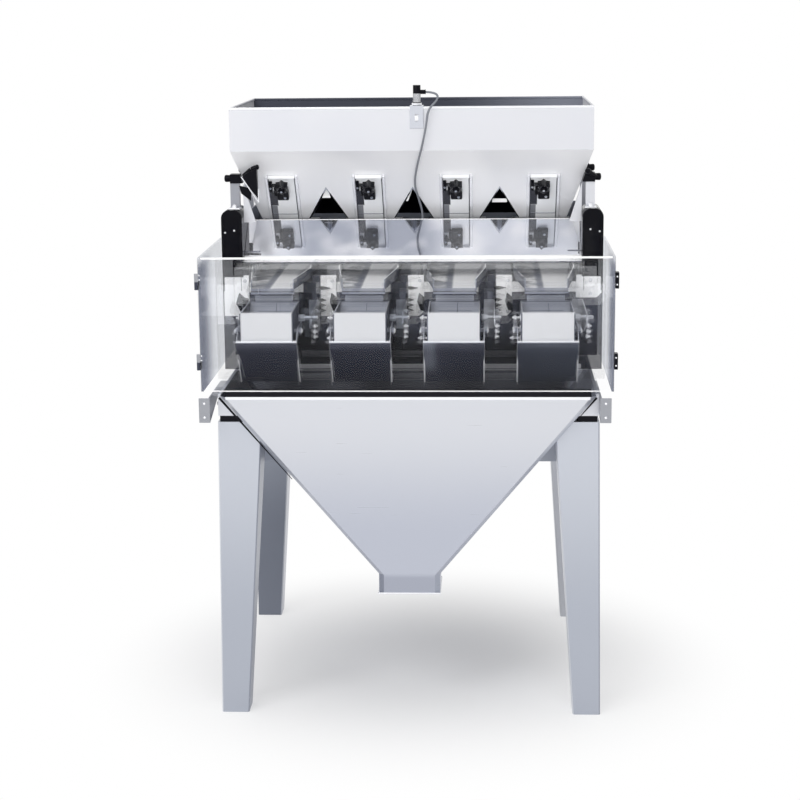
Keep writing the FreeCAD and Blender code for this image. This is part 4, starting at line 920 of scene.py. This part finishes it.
sillHem = {"boxes": [((-0.404, housingLow.y - 0.0012, 0.7685), (0.404, housingLow.y + 0.001, 0.779), 0.0005)]}
makePiece("sill_hems", "trim", sillHem)
print("covers, guard and funnel finished")

# Two columns of louvres in the housing's back.
rearLouvres = {"louvres": [(x, housingHigh.y, 0.82 + row * 0.014) for x in (-0.24, 0.24) for row in range(6)]}
makePiece("rear_louvres", "cabinet", rearLouvres)

# Screws of the housing's back and the rear cover, and hinges and handle of the cabinet's panel.
hingeX, hingeY, handleY = panelLow.x - 0.004, panelLow.y + 0.004, panelLow.y + 0.03
rearScrews = {
    "domes": [((x, housingHigh.y, z), backward, 0.008, 0.0022)
              for x in (-0.44, -0.15, 0.15, 0.44) for z in (0.778, 0.938)]
    + [((x, rearCoverBack, z), backward, 0.007, 0.002) for x in (-0.36, -0.12, 0.12, 0.36) for z in (1.0, 1.1)],
    "rods": [((hingeX, hingeY, z - 0.016), (hingeX, hingeY, z + 0.016), 0.008, 16, 1.0, 0.001)
             for z in (0.575, 0.672)]
    + [((x, panelLow.y + 0.002, 0.625), (x, handleY, 0.625), 0.009, 16) for x in (-0.06, 0.06)]
    + [((-0.066, handleY, 0.625), (0.066, handleY, 0.625), 0.01, 16, 1.0, 0.002)],
}
makePiece("rear_screws", "turned", rearScrews)

# Leaf springs and bolts of the vibrating drives, under each pan. By end: the spring's front and
# outer face, and the way that face looks.
driveEnds = ((-0.033, -0.033, forward), (0.191, 0.193, backward))
driveSprings = {"boxes": [((x - 0.02, front, 0.955), (x + 0.02, front + 0.002, 0.982), 0.0005)
                          for x in heads.values() for front, face, towards in driveEnds]}
driveBolts = {"bolts": [((x + across, face, z), towards, 0.003) for x in heads.values()
                        for front, face, towards in driveEnds for across in (-0.012, 0.012) for z in (0.96, 0.977)]}
makePiece("drive_leaf_springs", "turned", driveSprings)
makePiece("drive_bolts", "turned", driveBolts)

# Nuts, thread and block of the sensor, its collar and plug ring, and the cable gland's nut.
sensorNuts = {
    "rods": [((0.014, -0.037, low), (0.014, -0.037, high), 0.027, 6, 1.0, 0.0008)
             for low, high in ((1.3932, 1.3985), (1.384, 1.3896))]
    + [((0.014, -0.037, 1.4005 + ring * 0.0017), (0.014, -0.037, 1.4014 + ring * 0.0017), 0.0186, 24)
       for ring in range(12)],
    "boxes": [((0.0095, -0.0595, 1.3575), (0.0185, -0.0565, 1.3705), 0.0008)],
}
sensorCollar = {"rods": [((0.014, -0.037, 1.4375), (0.014, -0.037, 1.4395), 0.0155, 24, 1.0, 0.0008),
                         ((0.0335, -0.037, 1.424), (0.0352, -0.037, 1.424), 0.0112, 20, 1.0, 0.0004)]}
glandNut = {"rods": [((0.018, 0.084, 0.952), (0.018, 0.084, 0.9575), 0.024, 6, 1.0, 0.0006)]}
makePiece("sensor_nuts", "turned", sensorNuts)
makePiece("sensor_collar", "nylon", sensorCollar)
makePiece("gland_nut", "nylon", glandNut)

# Screws in the frame's front ears, and bolts along the outer faces of its rails.
frameBolts = {
    "domes": [((x, -0.404, z), forward, 0.006, 0.0018) for x in (-0.4555, 0.4435) for z in (0.72, 0.752)],
    "bolts": [((side * 0.431, y, 0.739), (side, 0, 0), 0.005)
              for side in (-1, 1) for y in (-0.34, -0.12, 0.06, 0.36)],
}
makePiece("frame_bolts", "turned", frameBolts)
print("rear and small fittings finished")

stageSizes = {"floor": 60.0, "near": 0.15, "far": 0.85}
worldLight = {"given": 0.58, "seen": 1.0}
softBoxes = (  # name, place, target, width, height, energy and whether it is mirrored
    ("soft box", (-1.6, -2.6, 3.2), (0, 0.4, 0.8), 2.4, 1.6, 46, True),
    ("low fill", (0.3, -3.6, 1.1), (0, 0, 1.0), 3.2, 1.2, 38, False),  # no hard reflection in the guard
)


def seenRays(tree):
    # 1 for what the camera, a mirror or the guard shows, 0 for the light that it gives.
    path = addNode(tree, "ShaderNodeLightPath")
    seen = path.outputs["Is Camera Ray"]
    for kind in ("Is Glossy Ray", "Is Transmission Ray"):
        seen = addNode(tree, "ShaderNodeMath", {"operation": "ADD", "use_clamp": True},
                       {0: seen, 1: path.outputs[kind]}).outputs[0]
    return seen


def makeFloor():
    bm = bmesh.new()
    bmesh.ops.create_grid(bm, x_segments=1, y_segments=1, size=stageSizes["floor"] / 2)
    mesh = bpy.data.meshes.new("floor")
    bm.to_mesh(mesh)
    bm.free()
    floor = bpy.data.objects.new("floor", mesh)
    bpy.context.collection.objects.link(floor)
    # Pale matt floor that keeps the shadow near the feet and turns plain white farther out.
    finish, tree, shader = newFinish("pale matt floor", "#fbfbfc", 0.0, 0.95)
    place = addNode(tree, "ShaderNodeTexCoord")
    length = addNode(tree, "ShaderNodeVectorMath", {"operation": "LENGTH"}, {0: place.outputs["Object"]})
    away = ramp(tree, length.outputs["Value"], stageSizes["near"], stageSizes["far"])
    white = addNode(tree, "ShaderNodeEmission", {"Color": (1, 1, 1, 1), "Strength": 1.0})
    setSurface(tree, addNode(tree, "ShaderNodeMixShader", links={
        0: multiply(tree, away, seenRays(tree)), 1: shader.outputs["BSDF"], 2: white.outputs["Emission"]}))
    mesh.materials.append(finish)


def makeWorld():
    world = bpy.data.worlds.new("studio")
    bpy.context.scene.world = world
    world.use_nodes = True
    tree = world.node_tree
    tree.nodes.clear()
    given, seen = (addNode(tree, "ShaderNodeBackground", {"Color": (1, 1, 1, 1), "Strength": worldLight[key]})
                   for key in ("given", "seen"))
    mix = addNode(tree, "ShaderNodeMixShader", links={
        0: seenRays(tree), 1: given.outputs["Background"], 2: seen.outputs["Background"]})
    addNode(tree, "ShaderNodeOutputWorld", links={"Surface": mix.outputs["Shader"]})


def addSoftBox(name, place, target, width, height, energy, mirrored):
    lamp = bpy.data.lights.new(name, "AREA")
    lamp.shape = "RECTANGLE"
    lamp.size, lamp.size_y, lamp.energy = width, height, energy
    softBox = bpy.data.objects.new(name, lamp)
    softBox.visible_glossy = mirrored
    softBox.matrix_world = Matrix.Translation(place) @ turnTo(Vector(place) - Vector(target))
    bpy.context.collection.objects.link(softBox)


makeFloor()
makeWorld()
for look in softBoxes:
    addSoftBox(*look)
bpy.context.scene.view_settings.view_transform = "Standard"
print("stage set")
